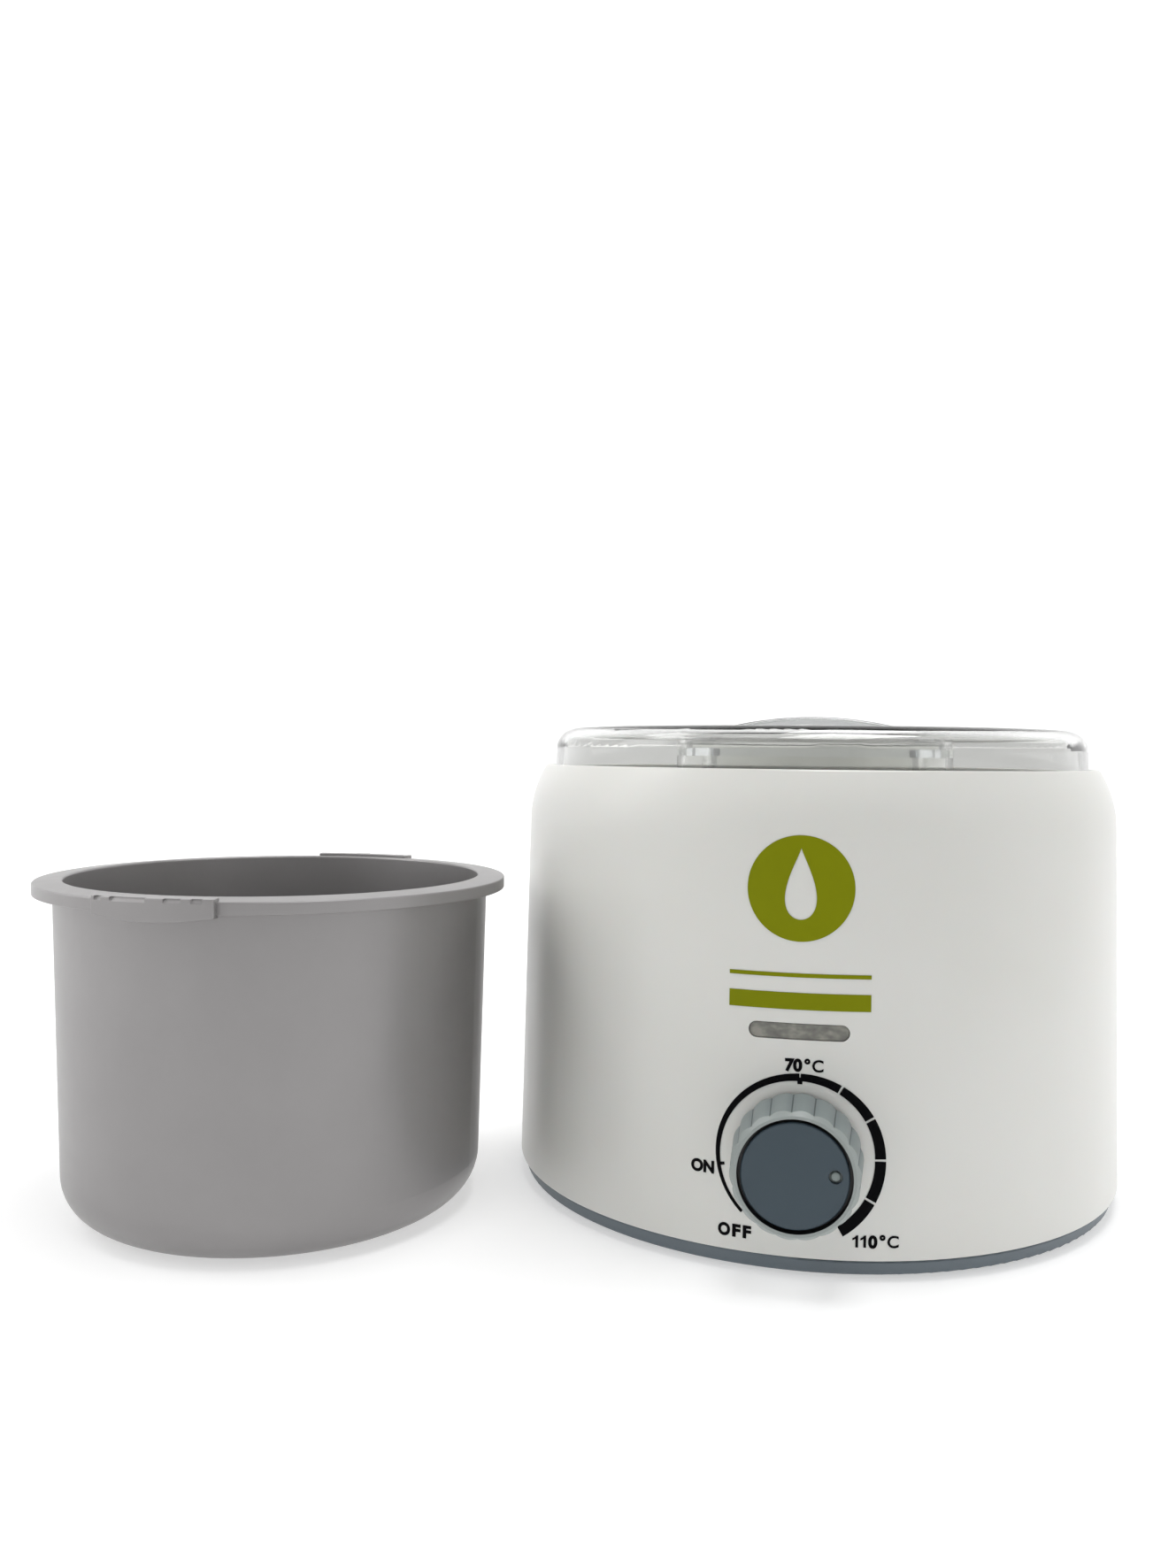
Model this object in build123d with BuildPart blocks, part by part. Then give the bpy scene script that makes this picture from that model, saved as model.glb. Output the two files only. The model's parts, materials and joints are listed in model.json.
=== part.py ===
"""Salon wax warmer with a lift-off clear lid, a heat dial and a removable wax pot.

Lengths are in millimetres. Z is up and the control panel faces -Y. The origin is the centre of the
rubber ring that the warmer stands on. The empty pot stands on the same surface, beside the warmer.
"""

import math
import os

from build123d import *

# ---------------------------------------------------------------- driving dimensions
BASE_RADIUS = 80.3  # shell's outer radius at its bottom edge
SHOULDER_RADIUS = 78.4  # shell's outer radius where the shoulder starts
RIM_RADIUS = 74.1  # shell's outer radius at the rim
SHELL_BOTTOM = 4.7
SHOULDER_START = 96.5
RIM_TOP = 111.0
SHELL_WALL = 2.5

LID_LEDGE = 106.0  # height of the ledge that the lid's skirt stands on
LID_RECESS_RADIUS = 72.3
LID_RADIUS = 71.9  # lid's outer radius at its lower edge
LID_TOP = 121.0
LID_SKIN = 2.0

SEAT_RADIUS = 60.9  # recess round the pot's flange
SEAT_HEIGHT = 101.0  # ledge that the well's flange hangs on
OPENING_RADIUS = 57.0
WELL_RADIUS = 55.0  # inner radius of the heated well
WELL_SKIN = 1.0
WELL_FLOOR = 22.5  # top of the well's floor
WELL_CORNER = 10.0

POT_HEIGHT = 82.0
POT_RIM_RADIUS = 53.5  # pot's outer radius under its flange
POT_FOOT_RADIUS = 51.6
POT_WALL = 2.3
POT_CORNER = 11.0
POT_FLANGE_RADIUS = 58.1
POT_FLANGE = 2.9  # thickness of the pot's flange
POT_LIP = 0.5  # how far the flange's inner edge stands above its outer edge
POT_PLACE = (-133.6, -56.1)  # where the pot's axis stands beside the warmer
POT_TURN = -0.5  # degrees that the pot's grips are turned from the front

GRIP_RADIUS = 60.1
GRIP_SPAN = 28.0  # degrees of flange that each grip covers

KNOB_HEIGHT = 26.7  # height of the dial's axis
KNOB_BASE_RADIUS = 14.25
KNOB_FRONT_RADIUS = 13.6
KNOB_REACH = 12.9  # how far the dial's face stands off the panel
KNOB_LOBES = 18
CAP_RADIUS = 11.3
POINTER_ANGLE = 86.5  # degrees clockwise from the top, at rest
POINTER_RADIUS = 8.4  # distance of the pointer from the dial's axis

LENS_HEIGHT = 54.0
LENS_WIDTH = 21.8
LENS_TALL = 3.6

GLAND_HEIGHT = 18.0
CORD_BORE = 3.4

FLOOR_TOP = 3.5  # top of the base cover's floor
WIRE_RADIUS = 1.0

# ---------------------------------------------------------------- derived places
def wall_radius(z):
    """Outer radius of the shell's straight, slightly tapered wall at height z."""
    share = (z - SHELL_BOTTOM) / (SHOULDER_START - SHELL_BOTTOM)
    return BASE_RADIUS + share * (SHOULDER_RADIUS - BASE_RADIUS)


def around(radius, angle, z=0.0):
    """The point at a radius and an angle in degrees about the warmer's axis."""
    a = math.radians(angle)
    return (radius * math.cos(a), radius * math.sin(a), z)


def turned(radius, angle, z=0.0):
    """A location at a radius and angle whose own X points away from the warmer's axis."""
    return Location(around(radius, angle, z), (0, 0, angle))


def corner(sketch, r, z):
    """The sketch's vertex nearest to a point of its outline."""
    return sketch.vertices().sort_by_distance((r, z, 0))[0]


def front_plane(distance, z, x=0.0):
    """A plane facing the user at a distance in front of the warmer's axis."""
    return Plane(origin=(x, -distance, z), x_dir=(1, 0, 0), z_dir=(0, -1, 0))


def save(builder, name):
    """Labels a finished piece and writes it to its own file."""
    builder.part.label = name
    export_step(builder.part, f"parts/{name}.step")


os.makedirs("parts", exist_ok=True)

PANEL = wall_radius(KNOB_HEIGHT)  # distance of the panel from the axis at the dial
KNOB_BASE = PANEL + 0.5
KNOB_FACE = PANEL + KNOB_REACH
PAD_FACE = PANEL + 0.5  # flat pad that the thermostat's nut bears on
PAD_BACK = 75.0  # flat inner pad that the thermostat bears on
BASE_SCREW_ANGLES = (30, 150, 210, 330)
BASE_SCREW_RADIUS = 65.5
BOSS_BOTTOM = 9.2
BRACKET_ANGLES = (90, 210, 330)
BRACKET_SCREW_RADIUS = 65.5
BRACKET_TOP = 95.0
STUD_RADIUS = 34.0  # circle of the studs under the well
STUD_ANGLES = (30, 150, 270)
BOARD_SCREW_X = 16.0
BOARD_FRONT = 70.0
GRIP_ANGLES = (POT_TURN - 90, POT_TURN + 90)

# ---------------------------------------------------------------- outer shell
with BuildPart() as outer_shell:
    with BuildSketch(Plane.XZ) as wall_section:
        with BuildLine():
            shoulder = TangentArc(
                (SHOULDER_RADIUS, SHOULDER_START),
                (RIM_RADIUS, RIM_TOP),
                tangent=(SHOULDER_RADIUS - BASE_RADIUS, SHOULDER_START - SHELL_BOTTOM),
            )
            Polyline(
                shoulder @ 1,
                (LID_RECESS_RADIUS, RIM_TOP),
                (LID_RECESS_RADIUS, LID_LEDGE),
                (SEAT_RADIUS, LID_LEDGE),
                (SEAT_RADIUS, SEAT_HEIGHT),
                (OPENING_RADIUS, SEAT_HEIGHT),
                (OPENING_RADIUS, SEAT_HEIGHT - SHELL_WALL),
                (SEAT_RADIUS + SHELL_WALL, SEAT_HEIGHT - SHELL_WALL),
                (SEAT_RADIUS + SHELL_WALL, LID_LEDGE - SHELL_WALL),
                (LID_RECESS_RADIUS - SHELL_WALL, LID_LEDGE - SHELL_WALL),
                (SHOULDER_RADIUS - SHELL_WALL, SHOULDER_START - 2.0),
                (BASE_RADIUS - SHELL_WALL, SHELL_BOTTOM),
                (BASE_RADIUS, SHELL_BOTTOM),
                shoulder @ 0,
            )
        make_face()
        fillet(corner(wall_section, RIM_RADIUS, RIM_TOP), 0.8)
        fillet(corner(wall_section, LID_RECESS_RADIUS, RIM_TOP), 0.5)
        fillet(corner(wall_section, SEAT_RADIUS, LID_LEDGE), 0.6)
        fillet(corner(wall_section, BASE_RADIUS, SHELL_BOTTOM), 0.4)
    revolve(axis=Axis.Z)
    # screw bosses for the base cover, each tied to the wall by a rib
    with Locations([turned(BASE_SCREW_RADIUS, a, BOSS_BOTTOM) for a in BASE_SCREW_ANGLES]):
        Cylinder(4.0, 18.0, align=(Align.CENTER, Align.CENTER, Align.MIN))
        Box(13.0, 2.5, 18.0, align=(Align.MIN, Align.CENTER, Align.MIN))
        Cylinder(
            1.5, 14.0, align=(Align.CENTER, Align.CENTER, Align.MIN), mode=Mode.SUBTRACT
        )
    # bosses under the lid ledge for the well's brackets
    with Locations([turned(BRACKET_SCREW_RADIUS, a, BRACKET_TOP) for a in BRACKET_ANGLES]):
        boss_tall = LID_LEDGE - SHELL_WALL - BRACKET_TOP + 1.0
        Cylinder(3.5, boss_tall, align=(Align.CENTER, Align.CENTER, Align.MIN))
        Cylinder(1.4, 7.0, align=(Align.CENTER, Align.CENTER, Align.MIN), mode=Mode.SUBTRACT)
    # flat pads inside and outside the wall at the thermostat's bush
    with BuildSketch(front_plane(PAD_BACK, KNOB_HEIGHT)):
        Circle(9.0)
    extrude(amount=PAD_FACE - 1.5 - PAD_BACK)
    with BuildSketch(front_plane(PAD_BACK, KNOB_HEIGHT)):
        Circle(8.0)
    extrude(amount=PAD_FACE - PAD_BACK)
    with BuildSketch(front_plane(PAD_BACK - 1.0, KNOB_HEIGHT)):
        Circle(5.1)
    extrude(amount=10.0, mode=Mode.SUBTRACT)
    # posts that carry the lamp board
    with BuildSketch(front_plane(BOARD_FRONT, LENS_HEIGHT)):
        with Locations((-BOARD_SCREW_X, 0), (BOARD_SCREW_X, 0)):
            Circle(2.6)
    extrude(amount=6.2)
    with BuildSketch(front_plane(BOARD_FRONT, LENS_HEIGHT)):
        with Locations((-BOARD_SCREW_X, 0), (BOARD_SCREW_X, 0)):
            Circle(1.2)
    extrude(amount=5.0, mode=Mode.SUBTRACT)
    # window for the lens, hole for the cord gland
    with BuildSketch(front_plane(BOARD_FRONT + 1.0, LENS_HEIGHT)):
        SlotOverall(LENS_WIDTH, LENS_TALL)
    extrude(amount=12.0, mode=Mode.SUBTRACT)
    with BuildSketch(Plane.XZ.offset(-BASE_RADIUS - 2.0)):
        with Locations((0, GLAND_HEIGHT)):
            Circle(6.1)
    extrude(amount=9.0, mode=Mode.SUBTRACT)
    # shallow reliefs in the ledge that take the undersides of the pot's grips
    for angle in GRIP_ANGLES:
        with BuildSketch(Plane.XZ.rotated((0, 0, angle - GRIP_SPAN / 2 - 3.0))):
            with Locations((OPENING_RADIUS - 0.5, SEAT_HEIGHT)):
                Rectangle(
                    SEAT_RADIUS - OPENING_RADIUS + 0.5, 1.5, align=(Align.MIN, Align.MAX)
                )
        revolve(axis=Axis.Z, revolution_arc=GRIP_SPAN + 6.0, mode=Mode.SUBTRACT)
save(outer_shell, "outer_shell")


# ---------------------------------------------------------------- base cover and foot ring
FOOT_INNER = 70.6
FOOT_OUTER = 76.0
FOOT_TOP = 2.0
COVER_BOTTOM = 1.0
COVER_RADIUS = 79.8

with BuildPart() as base_cover:
    with BuildSketch(Plane.XZ) as cover_section:
        with BuildLine():
            Polyline(
                (0, COVER_BOTTOM),
                (FOOT_INNER, COVER_BOTTOM),
                (FOOT_INNER, FOOT_TOP),
                (FOOT_OUTER, FOOT_TOP),
                (FOOT_OUTER, COVER_BOTTOM),
                (COVER_RADIUS - 1.3, COVER_BOTTOM),
                (COVER_RADIUS, SHELL_BOTTOM),
                (BASE_RADIUS - SHELL_WALL - 0.2, SHELL_BOTTOM),
                (BASE_RADIUS - SHELL_WALL - 0.3, SHELL_BOTTOM + 3.5),
                (BASE_RADIUS - SHELL_WALL - 2.1, SHELL_BOTTOM + 3.5),
                (BASE_RADIUS - SHELL_WALL - 2.1, FLOOR_TOP),
                (0, FLOOR_TOP),
                close=True,
            )
        make_face()
        fillet(corner(cover_section, COVER_RADIUS - 1.3, COVER_BOTTOM), 0.8)
        fillet(corner(cover_section, COVER_RADIUS, SHELL_BOTTOM), 0.5)
    revolve(axis=Axis.Z)
    with Locations([turned(BASE_SCREW_RADIUS, a, FLOOR_TOP) for a in BASE_SCREW_ANGLES]):
        Cylinder(4.6, BOSS_BOTTOM - FLOOR_TOP, align=(Align.CENTER, Align.CENTER, Align.MIN))
    with Locations([turned(BASE_SCREW_RADIUS, a, COVER_BOTTOM) for a in BASE_SCREW_ANGLES]):
        Cylinder(
            3.2, 4.5, align=(Align.CENTER, Align.CENTER, Align.MIN), mode=Mode.SUBTRACT
        )
        Cylinder(
            1.7, 12.0, align=(Align.CENTER, Align.CENTER, Align.MIN), mode=Mode.SUBTRACT
        )
save(base_cover, "base_cover")

with BuildPart() as rubber_foot_ring:
    with BuildSketch():
        Circle(FOOT_OUTER)
        Circle(FOOT_INNER, mode=Mode.SUBTRACT)
    extrude(amount=FOOT_TOP)
    chamfer(rubber_foot_ring.edges().group_by(Axis.Z)[0], 0.25)
save(rubber_foot_ring, "rubber_foot_ring")

with BuildPart() as base_screws:
    with Locations([turned(BASE_SCREW_RADIUS, a, COVER_BOTTOM) for a in BASE_SCREW_ANGLES]):
        with Locations((0, 0, 2.3)):
            Cylinder(2.9, 2.2, align=(Align.CENTER, Align.CENTER, Align.MIN))
        with Locations((0, 0, 4.5)):
            Cylinder(1.5, 14.0, align=(Align.CENTER, Align.CENTER, Align.MIN))
        with Locations((0, 0, 2.3)):
            Box(3.4, 0.8, 1.0, align=(Align.CENTER, Align.CENTER, Align.MIN), mode=Mode.SUBTRACT)
            Box(0.8, 3.4, 1.0, align=(Align.CENTER, Align.CENTER, Align.MIN), mode=Mode.SUBTRACT)
save(base_screws, "base_screws")

# ---------------------------------------------------------------- heated well
WELL_OUTER = WELL_RADIUS + WELL_SKIN
FLOOR_UNDER = WELL_FLOOR - WELL_SKIN
WELL_FLANGE = 1.5
SHIELD_TOP = 13.8
SHIELD_UNDER = 13.0
NUT_TALL = 3.2

with BuildPart() as heating_well:
    with BuildSketch(Plane.XZ) as well_section:
        with BuildLine():
            Polyline(
                (0, FLOOR_UNDER),
                (WELL_OUTER, FLOOR_UNDER),
                (WELL_OUTER, SEAT_HEIGHT),
                (SEAT_RADIUS - 0.2, SEAT_HEIGHT),
                (SEAT_RADIUS - 0.2, SEAT_HEIGHT + WELL_FLANGE),
                (WELL_RADIUS, SEAT_HEIGHT + WELL_FLANGE),
                (WELL_RADIUS, WELL_FLOOR),
                (0, WELL_FLOOR),
                close=True,
            )
        make_face()
        fillet(corner(well_section, WELL_OUTER, FLOOR_UNDER), WELL_CORNER + WELL_SKIN)
        fillet(corner(well_section, WELL_RADIUS, WELL_FLOOR), WELL_CORNER)
        fillet(corner(well_section, WELL_RADIUS, SEAT_HEIGHT + WELL_FLANGE), 0.9)
    revolve(axis=Axis.Z)
    # gaps in the flange for the undersides of the pot's grips
    for angle in GRIP_ANGLES:
        with BuildSketch(Plane.XZ.rotated((0, 0, angle - GRIP_SPAN / 2 - 3.0))):
            with Locations((OPENING_RADIUS - 0.5, SEAT_HEIGHT - 0.5)):
                Rectangle(10.0, 3.0, align=(Align.MIN, Align.MIN))
        revolve(axis=Axis.Z, revolution_arc=GRIP_SPAN + 6.0, mode=Mode.SUBTRACT)
    # studs under the floor
    with Locations([turned(STUD_RADIUS, a, 8.5) for a in STUD_ANGLES]):
        Cylinder(
            2.0, FLOOR_UNDER - 8.5, align=(Align.CENTER, Align.CENTER, Align.MIN)
        )
save(heating_well, "heating_well")

with BuildPart() as shield_spacers:
    with Locations([turned(STUD_RADIUS, a, SHIELD_TOP) for a in STUD_ANGLES]):
        Cylinder(3.4, FLOOR_UNDER - SHIELD_TOP, align=(Align.CENTER, Align.CENTER, Align.MIN))
        Cylinder(
            2.1,
            FLOOR_UNDER - SHIELD_TOP,
            align=(Align.CENTER, Align.CENTER, Align.MIN),
            mode=Mode.SUBTRACT,
        )
save(shield_spacers, "shield_spacers")

with BuildPart() as heat_shield_plate:
    with BuildSketch(Plane.XY.offset(SHIELD_UNDER)):
        Circle(49.0)
        with Locations([turned(STUD_RADIUS, a) for a in STUD_ANGLES]):
            Circle(2.2, mode=Mode.SUBTRACT)
    extrude(amount=SHIELD_TOP - SHIELD_UNDER)
save(heat_shield_plate, "heat_shield_plate")

EARTH_STUD = STUD_ANGLES[0]
LUG_THICK = 0.8

with BuildPart() as shield_nuts:
    for stud in STUD_ANGLES:
        drop = LUG_THICK if stud == EARTH_STUD else 0.0
        with BuildSketch(Plane.XY.offset(SHIELD_UNDER - drop - NUT_TALL)):
            with Locations(turned(STUD_RADIUS, stud)):
                RegularPolygon(4.05, 6)
                Circle(2.0, mode=Mode.SUBTRACT)
        extrude(amount=NUT_TALL)
save(shield_nuts, "shield_nuts")

# ---------------------------------------------------------------- well brackets
with BuildPart() as well_brackets:
    with Locations([turned(WELL_OUTER, a, BRACKET_TOP) for a in BRACKET_ANGLES]):
        Box(13.0, 12.0, 1.2, align=(Align.MIN, Align.CENTER, Align.MAX))
        Box(1.2, 12.0, 10.0, align=(Align.MIN, Align.CENTER, Align.MAX))
    with Locations([turned(BRACKET_SCREW_RADIUS, a, BRACKET_TOP) for a in BRACKET_ANGLES]):
        Cylinder(1.6, 4.0, mode=Mode.SUBTRACT)
    with BuildSketch(Plane.XY.offset(BRACKET_TOP - 12.0)):
        Circle(WELL_OUTER)
    extrude(amount=13.0, mode=Mode.SUBTRACT)
save(well_brackets, "well_brackets")

with BuildPart() as well_bracket_screws:
    with Locations([turned(BRACKET_SCREW_RADIUS, a, BRACKET_TOP - 1.2) for a in BRACKET_ANGLES]):
        Cylinder(2.8, 1.8, align=(Align.CENTER, Align.CENTER, Align.MAX))
        Cylinder(1.4, 7.6, align=(Align.CENTER, Align.CENTER, Align.MIN))
        with Locations((0, 0, -1.0)):
            Box(3.2, 0.8, 1.0, align=(Align.CENTER, Align.CENTER, Align.MAX), mode=Mode.SUBTRACT)
            Box(0.8, 3.2, 1.0, align=(Align.CENTER, Align.CENTER, Align.MAX), mode=Mode.SUBTRACT)
save(well_bracket_screws, "well_bracket_screws")

# ---------------------------------------------------------------- heater, insulation, clamp
BAND_BOTTOM = 36.0
BAND_TOP = 62.0
BAND_OUTER = 58.6
CLAMP_HEIGHT = 49.0
CLAMP_REACH = 62.6

with BuildPart() as heater_band:
    with BuildSketch(Plane.XY.offset(BAND_BOTTOM)):
        Circle(BAND_OUTER)
        Circle(WELL_OUTER, mode=Mode.SUBTRACT)
        with Locations((0, WELL_OUTER)):
            Rectangle(7.0, 12.0, mode=Mode.SUBTRACT)
    extrude(amount=BAND_TOP - BAND_BOTTOM)
    # clamp ears on either side of the gap
    with BuildSketch(Plane.XY.offset(CLAMP_HEIGHT - 7.0)):
        with Locations((3.5, BAND_OUTER - 0.8), (-3.5 - 1.2, BAND_OUTER - 0.8)):
            Rectangle(1.2, 8.8, align=(Align.MIN, Align.MIN))
    extrude(amount=14.0)
    with BuildSketch(Plane.YZ.offset(-6.0)):
        with Locations((CLAMP_REACH, CLAMP_HEIGHT)):
            Circle(2.1)
    extrude(amount=12.0, mode=Mode.SUBTRACT)
save(heater_band, "heater_band")

with BuildPart() as band_clamp_screw:
    with BuildSketch(Plane.YZ.offset(-8.0)):
        with Locations((CLAMP_REACH, CLAMP_HEIGHT)):
            Circle(2.0)
    extrude(amount=15.0)
    with BuildSketch(Plane.YZ.offset(4.7)):
        with Locations((CLAMP_REACH, CLAMP_HEIGHT)):
            Circle(3.6)
    extrude(amount=2.4)
    with BuildSketch(Plane.YZ.offset(7.1)):
        with Locations((CLAMP_REACH, CLAMP_HEIGHT)):
            Rectangle(4.4, 0.9)
    extrude(amount=-1.0, mode=Mode.SUBTRACT)
save(band_clamp_screw, "band_clamp_screw")

with BuildPart() as band_clamp_nut:
    with BuildSketch(Plane.YZ.offset(-4.7)):
        with Locations((CLAMP_REACH, CLAMP_HEIGHT)):
            RegularPolygon(4.05, 6)
            Circle(2.0, mode=Mode.SUBTRACT)
    extrude(amount=-3.0)
save(band_clamp_nut, "band_clamp_nut")

with BuildPart() as insulation_sleeve:
    with BuildSketch(Plane.XY.offset(33.0)):
        Circle(60.4)
        Circle(BAND_OUTER, mode=Mode.SUBTRACT)
        with Locations((0, 60.0)):
            Rectangle(28.0, 16.0, mode=Mode.SUBTRACT)
    extrude(amount=33.0)
save(insulation_sleeve, "insulation_sleeve")

# ---------------------------------------------------------------- sensors under the well
BULB_X = 10.0
BULB_RADIUS = 1.8
FUSE_X = -10.0
FUSE_RADIUS = 2.2


def strap_sketch(x, r):
    """Section of a sprung strap: a half ring under a round body, with two flat feet."""
    with Locations((x, FLOOR_UNDER - r)):
        Circle(r + 0.6)
        Rectangle(2 * r + 1.2, r, align=(Align.CENTER, Align.MIN))
    with Locations((x, FLOOR_UNDER)):
        Rectangle(2 * r + 4.0, 2 * r, align=(Align.CENTER, Align.MIN), mode=Mode.SUBTRACT)
    with Locations((x, FLOOR_UNDER)):
        Rectangle(2 * r + 9.0, 0.6, align=(Align.CENTER, Align.MAX))
    with Locations((x, FLOOR_UNDER - r)):
        Circle(r, mode=Mode.SUBTRACT)
        Rectangle(2 * r, r, align=(Align.CENTER, Align.MIN), mode=Mode.SUBTRACT)


with BuildPart() as sensor_bulb:
    with BuildSketch(Plane.XZ.offset(22.0)):
        with Locations((BULB_X, FLOOR_UNDER - BULB_RADIUS)):
            Circle(BULB_RADIUS)
    extrude(amount=-44.0)
    fillet(sensor_bulb.edges().filter_by(GeomType.CIRCLE), 0.8)
save(sensor_bulb, "sensor_bulb")

with BuildPart() as thermal_fuse:
    with BuildSketch(Plane.XZ.offset(6.0)):
        with Locations((FUSE_X, FLOOR_UNDER - FUSE_RADIUS)):
            Circle(FUSE_RADIUS)
    extrude(amount=-16.0)
    fillet(thermal_fuse.edges().filter_by(GeomType.CIRCLE), 0.6)
save(thermal_fuse, "thermal_fuse")

with BuildPart() as sensor_strap:
    with BuildSketch(Plane.XZ.offset(4.0)):
        strap_sketch(BULB_X, BULB_RADIUS)
    extrude(amount=-8.0)
save(sensor_strap, "sensor_strap")

with BuildPart() as fuse_strap:
    with BuildSketch(Plane.XZ.offset(2.0)):
        strap_sketch(FUSE_X, FUSE_RADIUS)
    extrude(amount=-8.0)
save(fuse_strap, "fuse_strap")

# ---------------------------------------------------------------- thermostat
STAT_FRONT = PAD_BACK
STAT_BACK = 62.0
STAT_TALL = 24.0
STAT_BOTTOM = KNOB_HEIGHT - STAT_TALL / 2
SHAFT_RADIUS = 3.0
BUSH_FRONT = 84.6
TAB_X = (-7.0, 7.0)
TAB_BOTTOM = 10.0
TAB_DISTANCE = 68.0

with BuildPart() as thermostat_body:
    with BuildSketch(front_plane(STAT_BACK, KNOB_HEIGHT)):
        RectangleRounded(26.0, STAT_TALL, 2.0)
    extrude(amount=STAT_FRONT - STAT_BACK)
    with BuildSketch(front_plane(STAT_FRONT, KNOB_HEIGHT)):
        Circle(5.0)
    extrude(amount=BUSH_FRONT - STAT_FRONT)
    with BuildSketch(front_plane(STAT_BACK + 3.0, KNOB_HEIGHT)):
        Circle(SHAFT_RADIUS + 0.05)
    extrude(amount=30.0, mode=Mode.SUBTRACT)
    with Locations([(x, -TAB_DISTANCE, STAT_BOTTOM) for x in TAB_X]):
        Box(0.8, 6.3, STAT_BOTTOM - TAB_BOTTOM, align=(Align.CENTER, Align.CENTER, Align.MAX))
save(thermostat_body, "thermostat_body")

with BuildPart() as thermostat_washer:
    with BuildSketch(front_plane(PAD_FACE, KNOB_HEIGHT)):
        Circle(7.6)
        Circle(5.1, mode=Mode.SUBTRACT)
    extrude(amount=0.6)
save(thermostat_washer, "thermostat_washer")

with BuildPart() as thermostat_nut:
    with BuildSketch(front_plane(PAD_FACE + 0.6, KNOB_HEIGHT)):
        RegularPolygon(7.5, 6)
        Circle(5.0, mode=Mode.SUBTRACT)
    extrude(amount=2.6)
save(thermostat_nut, "thermostat_nut")

with BuildPart() as thermostat_shaft:
    with BuildSketch(front_plane(STAT_BACK + 3.3, KNOB_HEIGHT)):
        Circle(SHAFT_RADIUS)
    extrude(amount=KNOB_FACE - 3.3 - STAT_BACK - 3.3)
    with BuildSketch(front_plane(BUSH_FRONT + 0.3, KNOB_HEIGHT)):
        with Locations((0, 1.6)):
            Rectangle(8.0, 4.0, align=(Align.CENTER, Align.MIN))
    extrude(amount=10.0, mode=Mode.SUBTRACT)
save(thermostat_shaft, "thermostat_shaft")

# ---------------------------------------------------------------- heat dial
FACE_RECESS = 1.3
PLATE_BACK = KNOB_FACE - 3.3
HUB_BACK = BUSH_FRONT + 0.6
KNOB_SKIN = 1.9
LOBE_CENTRE = 9.3  # distance of the lobes' centres from the dial's axis
SHOULDER_BACK = 1.3
SHOULDER_RIM = 12.7
GROOVE_WIDTH = 0.75  # groove left between the cap and the skirt
GROOVE_DEPTH = 2.3
KNOB_TAPER = math.degrees(math.atan((KNOB_BASE_RADIUS - KNOB_FRONT_RADIUS) / (KNOB_FACE - KNOB_BASE)))
DIAL_AXIS = Axis((0, 0, KNOB_HEIGHT), (0, 1, 0))
POINTER_HOLE = 1.45
PIP_RADIUS = 1.05
PIP_TALL = 0.75
POINTER_SPOT = (
    POINTER_RADIUS * math.sin(math.radians(POINTER_ANGLE)),
    POINTER_RADIUS * math.cos(math.radians(POINTER_ANGLE)),
)

with BuildPart() as knob_skirt:
    # a ring of broad shallow lobes, drawn at the dial's base and tapering towards its face
    with BuildSketch(front_plane(KNOB_BASE, KNOB_HEIGHT)):
        Circle(LOBE_CENTRE)
        with PolarLocations(LOBE_CENTRE, KNOB_LOBES, start_angle=90 - POINTER_ANGLE):
            Circle(KNOB_BASE_RADIUS - LOBE_CENTRE)
    extrude(amount=KNOB_FACE - KNOB_BASE, taper=KNOB_TAPER)
    # sloping shoulder round the face
    with BuildSketch(Plane.YZ):
        with BuildLine():
            Polyline(
                (-KNOB_FACE + SHOULDER_BACK, KNOB_HEIGHT + KNOB_BASE_RADIUS + 2.0),
                (-KNOB_FACE + SHOULDER_BACK, KNOB_HEIGHT + KNOB_BASE_RADIUS - 0.4),
                (-KNOB_FACE, KNOB_HEIGHT + SHOULDER_RIM),
                (-KNOB_FACE - 2.0, KNOB_HEIGHT + SHOULDER_RIM),
                (-KNOB_FACE - 2.0, KNOB_HEIGHT + KNOB_BASE_RADIUS + 2.0),
                close=True,
            )
        make_face()
    revolve(axis=DIAL_AXIS, mode=Mode.SUBTRACT)
    # seat for the cap with a deeper groove round it, and the hollow behind the face
    with BuildSketch(Plane.YZ):
        with Locations((-KNOB_FACE, KNOB_HEIGHT)):
            Rectangle(FACE_RECESS, CAP_RADIUS + GROOVE_WIDTH, align=(Align.MIN, Align.MIN))
        with Locations((-KNOB_FACE, KNOB_HEIGHT + CAP_RADIUS)):
            Rectangle(GROOVE_DEPTH, GROOVE_WIDTH, align=(Align.MIN, Align.MIN))
        with BuildLine():
            Polyline(
                (-PLATE_BACK, KNOB_HEIGHT),
                (-PLATE_BACK, KNOB_HEIGHT + KNOB_FRONT_RADIUS - KNOB_SKIN),
                (-KNOB_BASE, KNOB_HEIGHT + KNOB_BASE_RADIUS - KNOB_SKIN),
                (-KNOB_BASE, KNOB_HEIGHT),
                close=True,
            )
        make_face()
    revolve(axis=DIAL_AXIS, mode=Mode.SUBTRACT)
    # hub that slides on to the shaft, with its flat
    with BuildSketch(front_plane(HUB_BACK, KNOB_HEIGHT)):
        Circle(5.2)
        Circle(SHAFT_RADIUS + 0.05, mode=Mode.SUBTRACT)
        with Locations((0, 1.65)):
            Rectangle(5.0, 2.0, align=(Align.CENTER, Align.MIN))
    extrude(amount=PLATE_BACK - HUB_BACK)
save(knob_skirt, "knob_skirt")

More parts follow.
